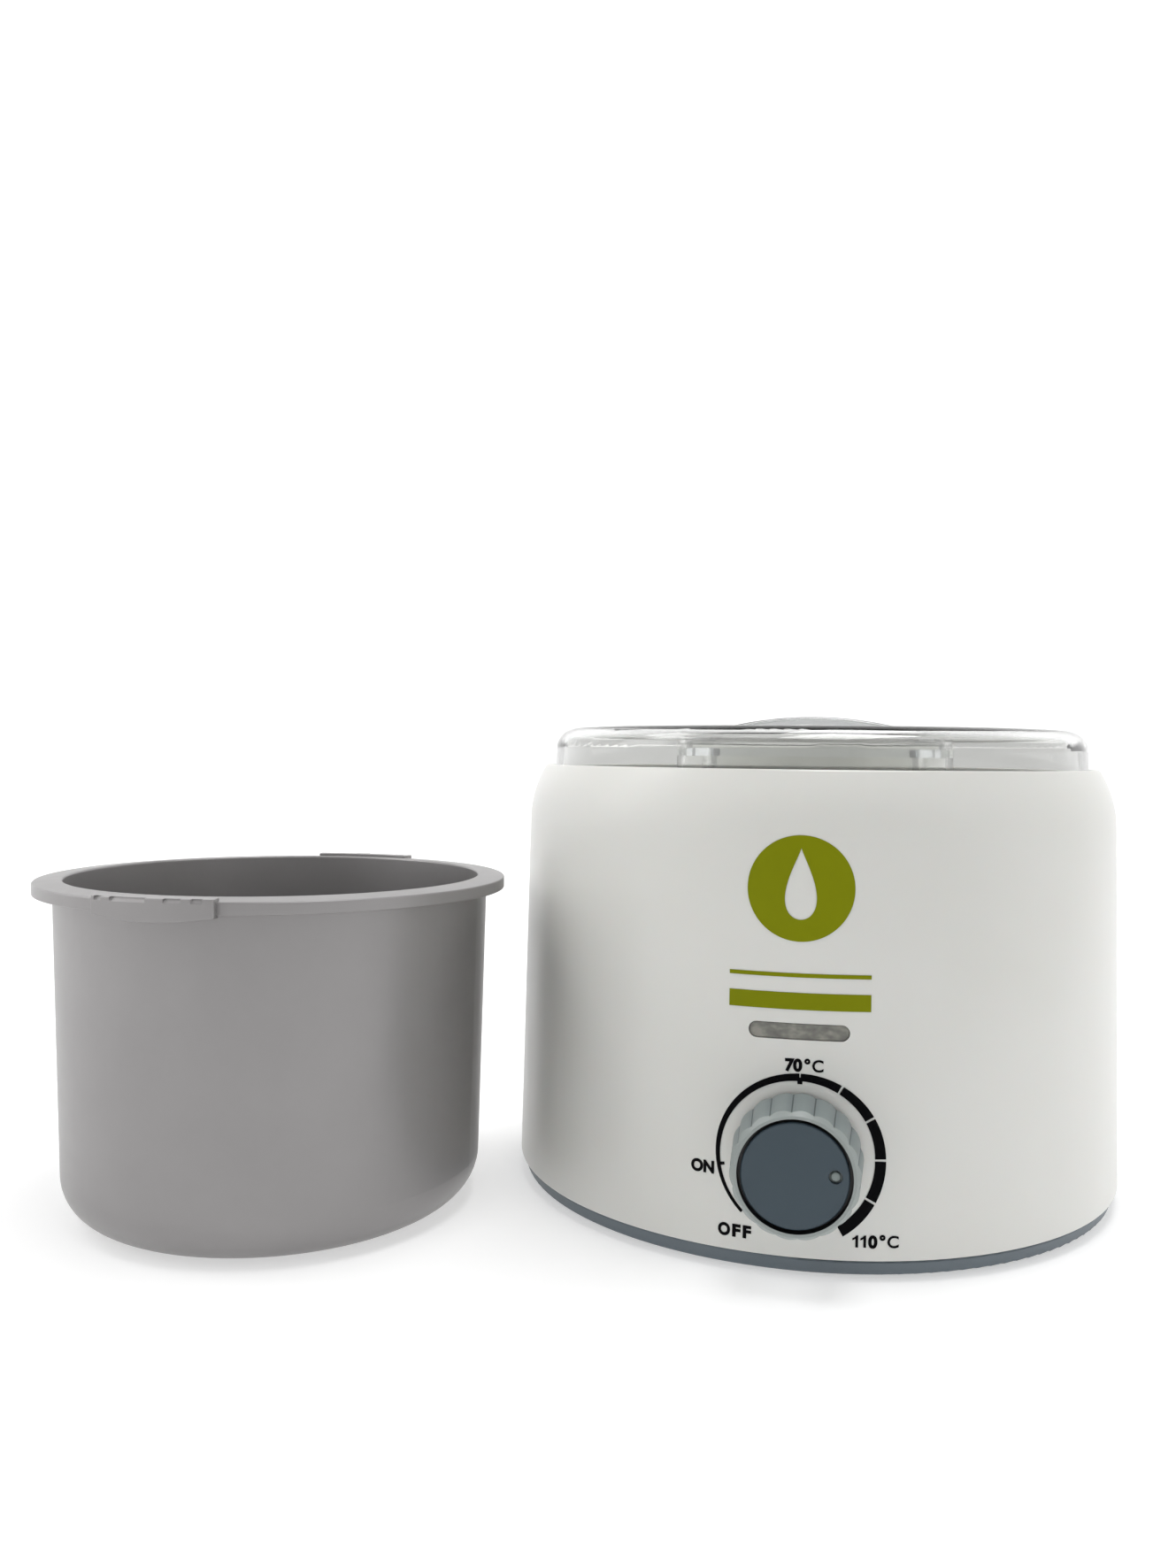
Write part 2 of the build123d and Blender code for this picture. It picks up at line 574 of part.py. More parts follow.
with BuildPart() as knob_cap:
    with BuildSketch(front_plane(KNOB_FACE - FACE_RECESS, KNOB_HEIGHT)):
        Circle(CAP_RADIUS)
    extrude(amount=FACE_RECESS - 0.3)
    chamfer(knob_cap.edges().group_by(Axis.Y)[0], 0.25)
    with BuildSketch(front_plane(KNOB_FACE, KNOB_HEIGHT)):
        with Locations(POINTER_SPOT):
            Circle(POINTER_HOLE)
    extrude(amount=-FACE_RECESS, mode=Mode.SUBTRACT)
save(knob_cap, "knob_cap")

# domed pip that stands in the cap's hole
with BuildPart() as knob_pointer:
    with BuildSketch(front_plane(KNOB_FACE - FACE_RECESS, KNOB_HEIGHT)):
        with Locations(POINTER_SPOT):
            Circle(PIP_RADIUS)
    extrude(amount=PIP_TALL)
    fillet(knob_pointer.edges().group_by(Axis.Y)[0], PIP_TALL - 0.3)
save(knob_pointer, "knob_pointer")

with BuildPart() as knob_spring_clip:
    with BuildSketch(front_plane(HUB_BACK + 0.8, KNOB_HEIGHT)):
        Circle(5.8)
        Circle(5.2, mode=Mode.SUBTRACT)
        with Locations((0, -5.0)):
            Rectangle(4.0, 4.0, mode=Mode.SUBTRACT)
    extrude(amount=2.4)
save(knob_spring_clip, "knob_spring_clip")

# ---------------------------------------------------------------- lamp behind the lens
BOARD_THICK = 1.6
LED_X = (-5.6, 5.6)
LENS_FRONT = 78.9  # radius that the lens face is cut to

LENS_BACK = BOARD_FRONT + 3.6
LENS_GAP = 0.15

with BuildPart() as indicator_lens:
    with BuildSketch(front_plane(LENS_BACK, LENS_HEIGHT)):
        SlotOverall(LENS_WIDTH - 2 * LENS_GAP, LENS_TALL - 2 * LENS_GAP)
    extrude(amount=8.0)
    Cylinder(LENS_FRONT, 220.0, mode=Mode.INTERSECT)
    # flange whose front follows the inside of the shell's wall
    with BuildSketch(Plane.XY.offset(LENS_HEIGHT - 3.5)):
        Circle(76.5)
        with Locations((0, -LENS_BACK)):
            Rectangle(26.0, 10.0, align=(Align.CENTER, Align.MAX), mode=Mode.INTERSECT)
    extrude(amount=7.0)
    # legs that stand on the board
    with BuildSketch(front_plane(BOARD_FRONT, LENS_HEIGHT)):
        with Locations((-11.5, 0), (11.5, 0)):
            Rectangle(2.0, 5.0)
    extrude(amount=4.0)
save(indicator_lens, "indicator_lens")

with BuildPart() as indicator_board:
    with BuildSketch(front_plane(BOARD_FRONT - BOARD_THICK, LENS_HEIGHT)):
        RectangleRounded(40.0, 10.0, 1.0)
        with Locations((-BOARD_SCREW_X, 0), (BOARD_SCREW_X, 0)):
            Circle(1.4, mode=Mode.SUBTRACT)
    extrude(amount=BOARD_THICK)
save(indicator_board, "indicator_board")

with BuildPart() as indicator_leds:
    with BuildSketch(front_plane(BOARD_FRONT, LENS_HEIGHT)):
        with Locations([(x, 0) for x in LED_X]):
            Circle(1.5)
    extrude(amount=2.4)
    fillet(indicator_leds.edges().group_by(Axis.Y)[0], 0.9)
save(indicator_leds, "indicator_leds")

with BuildPart() as board_screws:
    with BuildSketch(front_plane(BOARD_FRONT - BOARD_THICK, LENS_HEIGHT)):
        with Locations((-BOARD_SCREW_X, 0), (BOARD_SCREW_X, 0)):
            Circle(2.2)
    extrude(amount=-1.5)
    with BuildSketch(front_plane(BOARD_FRONT - BOARD_THICK, LENS_HEIGHT)):
        with Locations((-BOARD_SCREW_X, 0), (BOARD_SCREW_X, 0)):
            Circle(1.2)
    extrude(amount=BOARD_THICK + 4.6)
save(board_screws, "board_screws")

# ---------------------------------------------------------------- mains entry and wiring
GLAND_OUT = wall_radius(GLAND_HEIGHT - 9.0) + 0.05
GLAND_IN = 77.0

with BuildPart() as cord_gland:
    with BuildSketch(Plane.XZ.offset(-GLAND_OUT)):
        with Locations((0, GLAND_HEIGHT)):
            Circle(8.6)
    extrude(amount=-2.2)
    fillet(cord_gland.edges().group_by(Axis.Y)[-1], 0.8)
    with BuildSketch(Plane.XZ.offset(-GLAND_OUT - 2.2)):
        with Locations((0, GLAND_HEIGHT)):
            Circle(5.6)
    extrude(amount=-4.0)
    fillet(cord_gland.edges().group_by(Axis.Y)[-1], 0.6)
    with BuildSketch(Plane.XZ.offset(-GLAND_OUT)):
        with Locations((0, GLAND_HEIGHT)):
            Circle(6.0)
    extrude(amount=10.0)
    with BuildSketch(Plane.XZ.offset(-GLAND_OUT - 10.0)):
        with Locations((0, GLAND_HEIGHT)):
            Circle(CORD_BORE)
    extrude(amount=30.0, mode=Mode.SUBTRACT)
save(cord_gland, "cord_gland")

with BuildPart() as cord_gland_nut:
    with BuildSketch(Plane.XZ.offset(-GLAND_IN)):
        with Locations((0, GLAND_HEIGHT)):
            RegularPolygon(8.6, 6)
            Circle(6.0, mode=Mode.SUBTRACT)
    extrude(amount=4.0)
    chamfer(cord_gland_nut.edges().group_by(Axis.Y)[0].filter_by(GeomType.LINE), 0.4)
save(cord_gland_nut, "cord_gland_nut")

BLOCK_FRONT = 52.5
BLOCK_DEEP = 12.0
BLOCK_TOP = 15.0
BLOCK_WIDE = 36.0
BLOCK_SCREW_X = (-13.5, -4.5, 4.5, 13.5)
WIRE_LEVEL = 6.5

with BuildPart() as terminal_block:
    with Locations((0, BLOCK_FRONT, FLOOR_TOP)):
        Box(
            BLOCK_WIDE,
            BLOCK_DEEP,
            BLOCK_TOP - FLOOR_TOP,
            align=(Align.CENTER, Align.MIN, Align.MIN),
        )
    chamfer(terminal_block.edges().group_by(Axis.Z)[-1], 0.6)
    # screw wells in the top
    with Locations([(x, BLOCK_FRONT + BLOCK_DEEP / 2, BLOCK_TOP) for x in BLOCK_SCREW_X]):
        Cylinder(1.9, 5.0, align=(Align.CENTER, Align.CENTER, Align.MAX), mode=Mode.SUBTRACT)
save(terminal_block, "terminal_block")

with BuildPart() as terminal_screws:
    with Locations([(x, BLOCK_FRONT + BLOCK_DEEP / 2, BLOCK_TOP - 5.0) for x in BLOCK_SCREW_X]):
        Cylinder(1.9, 3.0, align=(Align.CENTER, Align.CENTER, Align.MIN))
        with Locations((0, 0, 2.2)):
            Box(4.0, 0.6, 1.0, align=(Align.CENTER, Align.CENTER, Align.MIN), mode=Mode.SUBTRACT)
save(terminal_screws, "terminal_screws")

with BuildPart() as capillary_tube:
    with BuildLine() as capillary_line:
        FilletPolyline(
            (0, -TAB_DISTANCE, STAT_BOTTOM),
            (0, -TAB_DISTANCE, 10.0),
            (BULB_X, -54.0, 10.0),
            (BULB_X, -54.0, FLOOR_UNDER - BULB_RADIUS),
            (BULB_X, -22.0, FLOOR_UNDER - BULB_RADIUS),
            radius=2.0,
        )
    with BuildSketch(Plane(origin=capillary_line.line @ 0, z_dir=capillary_line.line % 0)):
        Circle(0.6)
    sweep()
save(capillary_tube, "capillary_tube")

with BuildPart() as wire_live:
    with BuildLine() as live_line:
        FilletPolyline(
            (4.5, BLOCK_FRONT, WIRE_LEVEL),
            (4.5, -58.0, WIRE_LEVEL),
            (TAB_X[1], -TAB_DISTANCE, WIRE_LEVEL),
            (TAB_X[1], -TAB_DISTANCE, TAB_BOTTOM),
            radius=1.8,
        )
    with BuildSketch(Plane(origin=live_line.line @ 0, z_dir=live_line.line % 0)):
        Circle(WIRE_RADIUS)
    sweep()
save(wire_live, "wire_live")

with BuildPart() as wire_switched:
    with BuildLine() as switched_line:
        FilletPolyline(
            (TAB_X[0], -TAB_DISTANCE, TAB_BOTTOM),
            (TAB_X[0], -TAB_DISTANCE, WIRE_LEVEL),
            (FUSE_X, -56.0, WIRE_LEVEL),
            (FUSE_X, -56.0, FLOOR_UNDER - FUSE_RADIUS),
            (FUSE_X, -6.0, FLOOR_UNDER - FUSE_RADIUS),
            radius=1.8,
        )
    with BuildSketch(Plane(origin=switched_line.line @ 0, z_dir=switched_line.line % 0)):
        Circle(WIRE_RADIUS)
    sweep()
save(wire_switched, "wire_switched")

HEATER_LEAD_RADIUS = WELL_OUTER + 1.3
LEAD_Y = math.sqrt(HEATER_LEAD_RADIUS**2 - FUSE_X**2)

with BuildPart() as wire_heater_live:
    with BuildLine() as heater_line:
        FilletPolyline(
            (FUSE_X, 10.0, FLOOR_UNDER - FUSE_RADIUS),
            (FUSE_X, LEAD_Y, FLOOR_UNDER - FUSE_RADIUS),
            (FUSE_X, LEAD_Y, BAND_BOTTOM),
            radius=3.0,
        )
    with BuildSketch(Plane(origin=heater_line.line @ 0, z_dir=heater_line.line % 0)):
        Circle(WIRE_RADIUS)
    sweep()
save(wire_heater_live, "wire_heater_live")

with BuildPart() as wire_neutral:
    with BuildSketch(Plane.XY.offset(BLOCK_TOP)):
        with Locations((-FUSE_X, LEAD_Y)):
            Circle(WIRE_RADIUS)
    extrude(amount=BAND_BOTTOM - BLOCK_TOP)
save(wire_neutral, "wire_neutral")

earth_x, earth_y, earth_z = around(STUD_RADIUS, EARTH_STUD, SHIELD_UNDER - LUG_THICK)

with BuildPart() as wire_earth:
    with BuildSketch(Plane.XY.offset(earth_z)):
        with Locations((earth_x, earth_y)):
            Circle(4.2)
        with Locations((earth_x, earth_y + 6.0)):
            Rectangle(4.0, 10.0)
        with Locations((earth_x, earth_y)):
            Circle(2.1, mode=Mode.SUBTRACT)
    extrude(amount=LUG_THICK)
    with BuildLine() as earth_line:
        FilletPolyline(
            (earth_x, earth_y + 5.5, earth_z - 0.9),
            (earth_x, earth_y + 14.0, earth_z - 0.9),
            (13.5, BLOCK_FRONT - 9.0, WIRE_LEVEL),
            (13.5, BLOCK_FRONT, WIRE_LEVEL),
            radius=2.5,
        )
    with BuildSketch(Plane(origin=earth_line.line @ 0, z_dir=earth_line.line % 0)):
        Circle(WIRE_RADIUS)
    sweep()
save(wire_earth, "wire_earth")

LAMP_WIRE_X = 17.5
LAMP_WIRE_DISTANCE = 67.6

with BuildPart() as lamp_wires:
    for side, end in ((-1, -4.5), (1, 9.0)):
        with BuildLine() as lamp_line:
            FilletPolyline(
                (side * LAMP_WIRE_X, -LAMP_WIRE_DISTANCE, LENS_HEIGHT - 3.6),
                (side * LAMP_WIRE_X, -LAMP_WIRE_DISTANCE, 4.6),
                (side * LAMP_WIRE_X, 20.0, 4.6),
                (end, BLOCK_FRONT - 6.0, 4.6),
                (end, BLOCK_FRONT, 4.6),
                radius=2.5,
            )
        with BuildSketch(Plane(origin=lamp_line.line @ 0, z_dir=lamp_line.line % 0)):
            Circle(0.75)
        sweep()
save(lamp_wires, "lamp_wires")

# ---------------------------------------------------------------- clear lid
LID_CORNER = 5.6
RECESS_RADIUS = 35.8  # shallow round recess in the lid's top
RECESS_FLOOR = 115.8
POCKET_RADIUS = 29.0  # deeper finger pockets inside the recess
POCKET_FLOOR = 108.4
BAR_WIDTH = 13.0
ARCH_HALF = 26.5
ARCH_RISE = 3.6

with BuildPart() as lid:
    with BuildSketch(Plane.XZ) as lid_section:
        with BuildLine():
            Polyline(
                (0, LID_TOP),
                (LID_RADIUS - 0.6, LID_TOP),
                (LID_RADIUS, LID_LEDGE),
                (LID_RADIUS - LID_SKIN, LID_LEDGE),
                (LID_RADIUS - 0.6 - LID_SKIN, LID_TOP - LID_SKIN),
                (0, LID_TOP - LID_SKIN),
                close=True,
            )
        make_face()
        fillet(corner(lid_section, LID_RADIUS, LID_TOP), LID_CORNER)
        fillet(corner(lid_section, LID_RADIUS - LID_SKIN, LID_TOP - LID_SKIN), LID_CORNER - LID_SKIN)
    revolve(axis=Axis.Z)
    # a shallow recess and two deeper finger pockets, with a bar left across the middle
    with BuildSketch(Plane.XY.offset(RECESS_FLOOR - LID_SKIN)):
        Circle(RECESS_RADIUS + LID_SKIN)
        Rectangle(4 * RECESS_RADIUS, BAR_WIDTH - 2 * LID_SKIN, mode=Mode.SUBTRACT)
    extrude(amount=LID_TOP - RECESS_FLOOR)
    with BuildSketch(Plane.XY.offset(POCKET_FLOOR - LID_SKIN)):
        Circle(POCKET_RADIUS + LID_SKIN)
        Rectangle(4 * POCKET_RADIUS, BAR_WIDTH - 2 * LID_SKIN, mode=Mode.SUBTRACT)
    extrude(amount=RECESS_FLOOR - POCKET_FLOOR)
    # stiffening rib that carries the recess's wall down under the lid
    with BuildSketch(Plane.XY.offset(POCKET_FLOOR)):
        Circle(RECESS_RADIUS + LID_SKIN)
        Circle(RECESS_RADIUS, mode=Mode.SUBTRACT)
    extrude(amount=RECESS_FLOOR - POCKET_FLOOR)
    # the bar's top rises in a low arch that runs out into the lid's top
    with BuildSketch(Plane.XZ.offset(-BAR_WIDTH / 2)) as arch_section:
        with BuildLine():
            arch = ThreePointArc(
                (-ARCH_HALF, LID_TOP), (0, LID_TOP + ARCH_RISE), (ARCH_HALF, LID_TOP)
            )
            Polyline(
                arch @ 1,
                (RECESS_RADIUS + 4.0, LID_TOP),
                (RECESS_RADIUS + 4.0, LID_TOP - LID_SKIN),
                (-RECESS_RADIUS - 4.0, LID_TOP - LID_SKIN),
                (-RECESS_RADIUS - 4.0, LID_TOP),
                arch @ 0,
            )
        make_face()
        fillet(corner(arch_section, ARCH_HALF, LID_TOP), 16.0)
        fillet(corner(arch_section, -ARCH_HALF, LID_TOP), 16.0)
    extrude(amount=BAR_WIDTH)
    with BuildSketch(Plane.XZ.offset(LID_SKIN - BAR_WIDTH / 2)):
        with BuildLine():
            under = ThreePointArc(
                (-ARCH_HALF, LID_TOP - LID_SKIN),
                (0, LID_TOP + ARCH_RISE - LID_SKIN),
                (ARCH_HALF, LID_TOP - LID_SKIN),
            )
            Line(under @ 1, under @ 0)
        make_face()
    extrude(amount=BAR_WIDTH - 2 * LID_SKIN, mode=Mode.SUBTRACT)
    with BuildSketch(Plane.XY.offset(RECESS_FLOOR)):
        Circle(RECESS_RADIUS)
        Rectangle(4 * RECESS_RADIUS, BAR_WIDTH, mode=Mode.SUBTRACT)
    extrude(amount=20.0, mode=Mode.SUBTRACT)
    with BuildSketch(Plane.XY.offset(POCKET_FLOOR)):
        Circle(POCKET_RADIUS)
        Rectangle(4 * POCKET_RADIUS, BAR_WIDTH, mode=Mode.SUBTRACT)
    extrude(amount=20.0, mode=Mode.SUBTRACT)
    # rounded edges round the recess and along the bar
    top_edges = lid.edges().filter_by(lambda e: e.center().Z > LID_TOP - 0.01)
    rim_edges = top_edges.filter_by(
        lambda e: e.geom_type == GeomType.CIRCLE and abs(e.radius - RECESS_RADIUS) < 0.01
    )
    bar_edges = top_edges.filter_by(lambda e: abs(abs(e.center().Y) - BAR_WIDTH / 2) < 0.01)
    fillet(rim_edges + bar_edges, 0.8)
save(lid, "lid")

# ---------------------------------------------------------------- wax pot
pot_x, pot_y = POT_PLACE
FLANGE_UNDER = POT_HEIGHT - POT_FLANGE
POT_SECTION = Plane(origin=(pot_x, pot_y, 0), x_dir=(1, 0, 0), z_dir=(0, -1, 0))
POT_AXIS = Axis((pot_x, pot_y, 0), (0, 0, 1))

with BuildPart() as wax_pot:
    with BuildSketch(POT_SECTION) as pot_section:
        with BuildLine():
            Polyline(
                (0, 0),
                (POT_FOOT_RADIUS, 0),
                (POT_RIM_RADIUS, FLANGE_UNDER),
                (POT_FLANGE_RADIUS, FLANGE_UNDER),
                (POT_FLANGE_RADIUS, POT_HEIGHT),
                (POT_RIM_RADIUS - POT_WALL, POT_HEIGHT + POT_LIP),
                (POT_FOOT_RADIUS - POT_WALL, POT_WALL),
                (0, POT_WALL),
                close=True,
            )
        make_face()
        fillet(corner(pot_section, POT_FOOT_RADIUS, 0), POT_CORNER)
        fillet(corner(pot_section, POT_FOOT_RADIUS - POT_WALL, POT_WALL), 8.7)
        fillet(corner(pot_section, POT_FLANGE_RADIUS, POT_HEIGHT), 0.4)
        fillet(corner(pot_section, POT_FLANGE_RADIUS, FLANGE_UNDER), 0.3)
        fillet(corner(pot_section, POT_RIM_RADIUS - POT_WALL, POT_HEIGHT + POT_LIP), 0.5)
        fillet(corner(pot_section, POT_RIM_RADIUS, FLANGE_UNDER), 0.4)
    revolve(axis=POT_AXIS)
save(wax_pot, "wax_pot")

# grips that wrap the flange: an outer wall, a lip below and a notched lip on top
GRIP_TOP = POT_HEIGHT + 0.8
GRIP_INNER = 56.2  # inner radius of the lip on top of the flange
GRIP_UNDER = 57.0  # inner radius of the lip below it, clear of the well's wall
GRIP_DROP = 1.5  # how far the lower edge hangs under the flange at the grip's middle
GRIP_DROP_END = 0.4  # the same at the grip's ends
HALF_CHORD = GRIP_RADIUS * math.sin(math.radians(GRIP_SPAN / 2))
GRIP_ARC = (HALF_CHORD**2 + (GRIP_DROP - GRIP_DROP_END) ** 2) / (2 * (GRIP_DROP - GRIP_DROP_END))
NOTCH_BACK = GRIP_RADIUS - 1.0
NOTCH_WALL = 0.35  # height of a notch's back wall, from which its floor slopes down
NOTCH_FALL = 0.6
NOTCHES = ((-12.1, 1.8), (-4.7, 8.5), (5.35, 3.7), (10.45, 2.3))  # centre and width in degrees


def flange_top(r):
    """Height of the flange's sloping top at a radius from the pot's axis."""
    inner = POT_RIM_RADIUS - POT_WALL
    return POT_HEIGHT + POT_LIP * (POT_FLANGE_RADIUS - r) / (POT_FLANGE_RADIUS - inner)


def pot_plane(angle):
    """An upright plane through the pot's axis, whose X points outwards at an angle."""
    a = math.radians(angle)
    return Plane(
        origin=(pot_x, pot_y, 0),
        x_dir=(math.cos(a), math.sin(a), 0),
        z_dir=(math.sin(a), -math.cos(a), 0),
    )


def pot_distance(edge):
    """How far an edge's middle is from the pot's axis."""
    middle = edge @ 0.5
    return math.hypot(middle.X - pot_x, middle.Y - pot_y)


for name, middle in (("pot_grip_front", POT_TURN - 90), ("pot_grip_rear", POT_TURN + 90)):
    with BuildPart() as pot_grip:
        with BuildSketch(pot_plane(middle - GRIP_SPAN / 2)):
            with BuildLine():
                Polyline(
                    (GRIP_UNDER, FLANGE_UNDER),
                    (GRIP_UNDER, FLANGE_UNDER - GRIP_DROP - 1.0),
                    (GRIP_RADIUS, FLANGE_UNDER - GRIP_DROP - 1.0),
                    (GRIP_RADIUS, GRIP_TOP),
                    (GRIP_INNER, GRIP_TOP),
                    (GRIP_INNER, flange_top(GRIP_INNER)),
                    (POT_FLANGE_RADIUS, flange_top(POT_FLANGE_RADIUS)),
                    (POT_FLANGE_RADIUS, FLANGE_UNDER),
                    close=True,
                )
            make_face()
        revolve(axis=POT_AXIS, revolution_arc=GRIP_SPAN)
        # the lower edge is an arc that hangs lowest at the grip's middle
        outwards = (math.cos(math.radians(middle)), math.sin(math.radians(middle)), 0)
        sideways = (-outwards[1], outwards[0], 0)
        lowest = (pot_x, pot_y, FLANGE_UNDER - GRIP_DROP)
        with BuildSketch(Plane(origin=lowest, x_dir=sideways, z_dir=outwards)):
            with Locations((0, GRIP_ARC)):
                Circle(GRIP_ARC)
        extrude(amount=GRIP_RADIUS + 5.0, mode=Mode.INTERSECT)
        # soften the outline of the outer wall
        outer_edges = pot_grip.edges().filter_by(lambda e: abs(pot_distance(e) - GRIP_RADIUS) < 0.05)
        fillet(outer_edges, 0.35)
        # notches in the outer edge, which leave the inner lip whole
        for offset_angle, width in NOTCHES:
            with BuildSketch(pot_plane(middle + offset_angle - width / 2)):
                with BuildLine():
                    Polyline(
                        (NOTCH_BACK, GRIP_TOP + 1.0),
                        (NOTCH_BACK, GRIP_TOP - NOTCH_WALL),
                        (GRIP_RADIUS + 1.0, GRIP_TOP - NOTCH_WALL - 2 * NOTCH_FALL),
                        (GRIP_RADIUS + 1.0, GRIP_TOP + 1.0),
                        close=True,
                    )
                make_face()
            revolve(axis=POT_AXIS, revolution_arc=width, mode=Mode.SUBTRACT)
    save(pot_grip, name)
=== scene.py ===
import json
import math

import bmesh
import bpy
from mathutils import Matrix, Vector


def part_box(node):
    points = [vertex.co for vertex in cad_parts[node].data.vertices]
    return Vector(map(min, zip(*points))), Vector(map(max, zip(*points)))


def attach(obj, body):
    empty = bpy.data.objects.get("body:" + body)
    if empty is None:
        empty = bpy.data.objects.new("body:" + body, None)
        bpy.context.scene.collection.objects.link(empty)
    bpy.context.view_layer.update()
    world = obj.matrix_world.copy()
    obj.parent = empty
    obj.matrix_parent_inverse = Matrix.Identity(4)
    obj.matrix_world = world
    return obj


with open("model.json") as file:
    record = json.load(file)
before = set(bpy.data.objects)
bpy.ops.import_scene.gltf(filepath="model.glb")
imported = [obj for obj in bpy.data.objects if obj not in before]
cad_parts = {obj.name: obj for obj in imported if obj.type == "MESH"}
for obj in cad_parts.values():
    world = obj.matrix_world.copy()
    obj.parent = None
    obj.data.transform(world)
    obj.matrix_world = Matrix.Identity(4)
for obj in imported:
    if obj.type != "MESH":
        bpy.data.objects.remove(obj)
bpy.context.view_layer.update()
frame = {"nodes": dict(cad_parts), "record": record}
nodes = frame["nodes"]
scene = bpy.context.scene

MM = 0.001

# ------------------------------------------------------------------ places taken from the frame
shell_low, shell_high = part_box("outer_shell")
cap_low, cap_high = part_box("knob_cap")
DIAL_Z = (cap_low.z + cap_high.z) / 2
DIAL_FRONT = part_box("knob_skirt")[0].y
CAP_RADIUS = (cap_high.z - cap_low.z) / 2
SHELL_BOTTOM = shell_low.z
BASE_RADIUS = shell_high.x
SHOULDER_RADIUS = BASE_RADIUS - 1.9 * MM
SHOULDER_START = 96.5 * MM  # height at which the casing's straight wall ends


def placed(name, data):
    """A new object in the scene."""
    item = bpy.data.objects.new(name, data)
    scene.collection.objects.link(item)
    return item


def mesh_from(name, bm, material):
    """Turns a bmesh into a mesh with one material, and frees it."""
    mesh = bpy.data.meshes.new(name)
    bm.to_mesh(mesh)
    bm.free()
    mesh.materials.append(material)
    return mesh


# ------------------------------------------------------------------ camera
CAMERA_PLACE = Vector((9.18 * MM, -348.52 * MM, 114.49 * MM))
CAMERA_HEADING = 0.2071  # radians turned left from +Y
CAMERA_PITCH = 0.02635  # radians looking down
CAMERA_ROLL = 0.0097  # radians
CAMERA_LENS = 28.17  # millimetres, for a sensor 36 mm wide


def make_camera():
    """The camera that was fitted to the photograph's outlines."""
    ahead = Vector((
        -math.sin(CAMERA_HEADING) * math.cos(CAMERA_PITCH),
        math.cos(CAMERA_HEADING) * math.cos(CAMERA_PITCH),
        -math.sin(CAMERA_PITCH),
    ))
    right = Vector((math.cos(CAMERA_HEADING), math.sin(CAMERA_HEADING), 0))
    up = right.cross(ahead)
    rolled_right = right * math.cos(CAMERA_ROLL) + up * math.sin(CAMERA_ROLL)
    rolled_up = up * math.cos(CAMERA_ROLL) - right * math.sin(CAMERA_ROLL)
    turn = Matrix((rolled_right, rolled_up, -ahead)).transposed()
    data = bpy.data.cameras.new("camera")
    data.lens = CAMERA_LENS
    data.sensor_width = 36.0
    data.sensor_fit = "AUTO"
    data.clip_start = 0.01
    data.clip_end = 20.0
    camera = placed("camera", data)
    camera.matrix_world = Matrix.Translation(CAMERA_PLACE) @ turn.to_4x4()
    scene.camera = camera


make_camera()


# ------------------------------------------------------------------ material helpers
def srgb(r, g, b):
    """Linear colour from 0-255 screen values."""
    def one(v):
        v = v / 255.0
        return v / 12.92 if v <= 0.04045 else ((v + 0.055) / 1.055) ** 2.4
    return (one(r), one(g), one(b), 1.0)


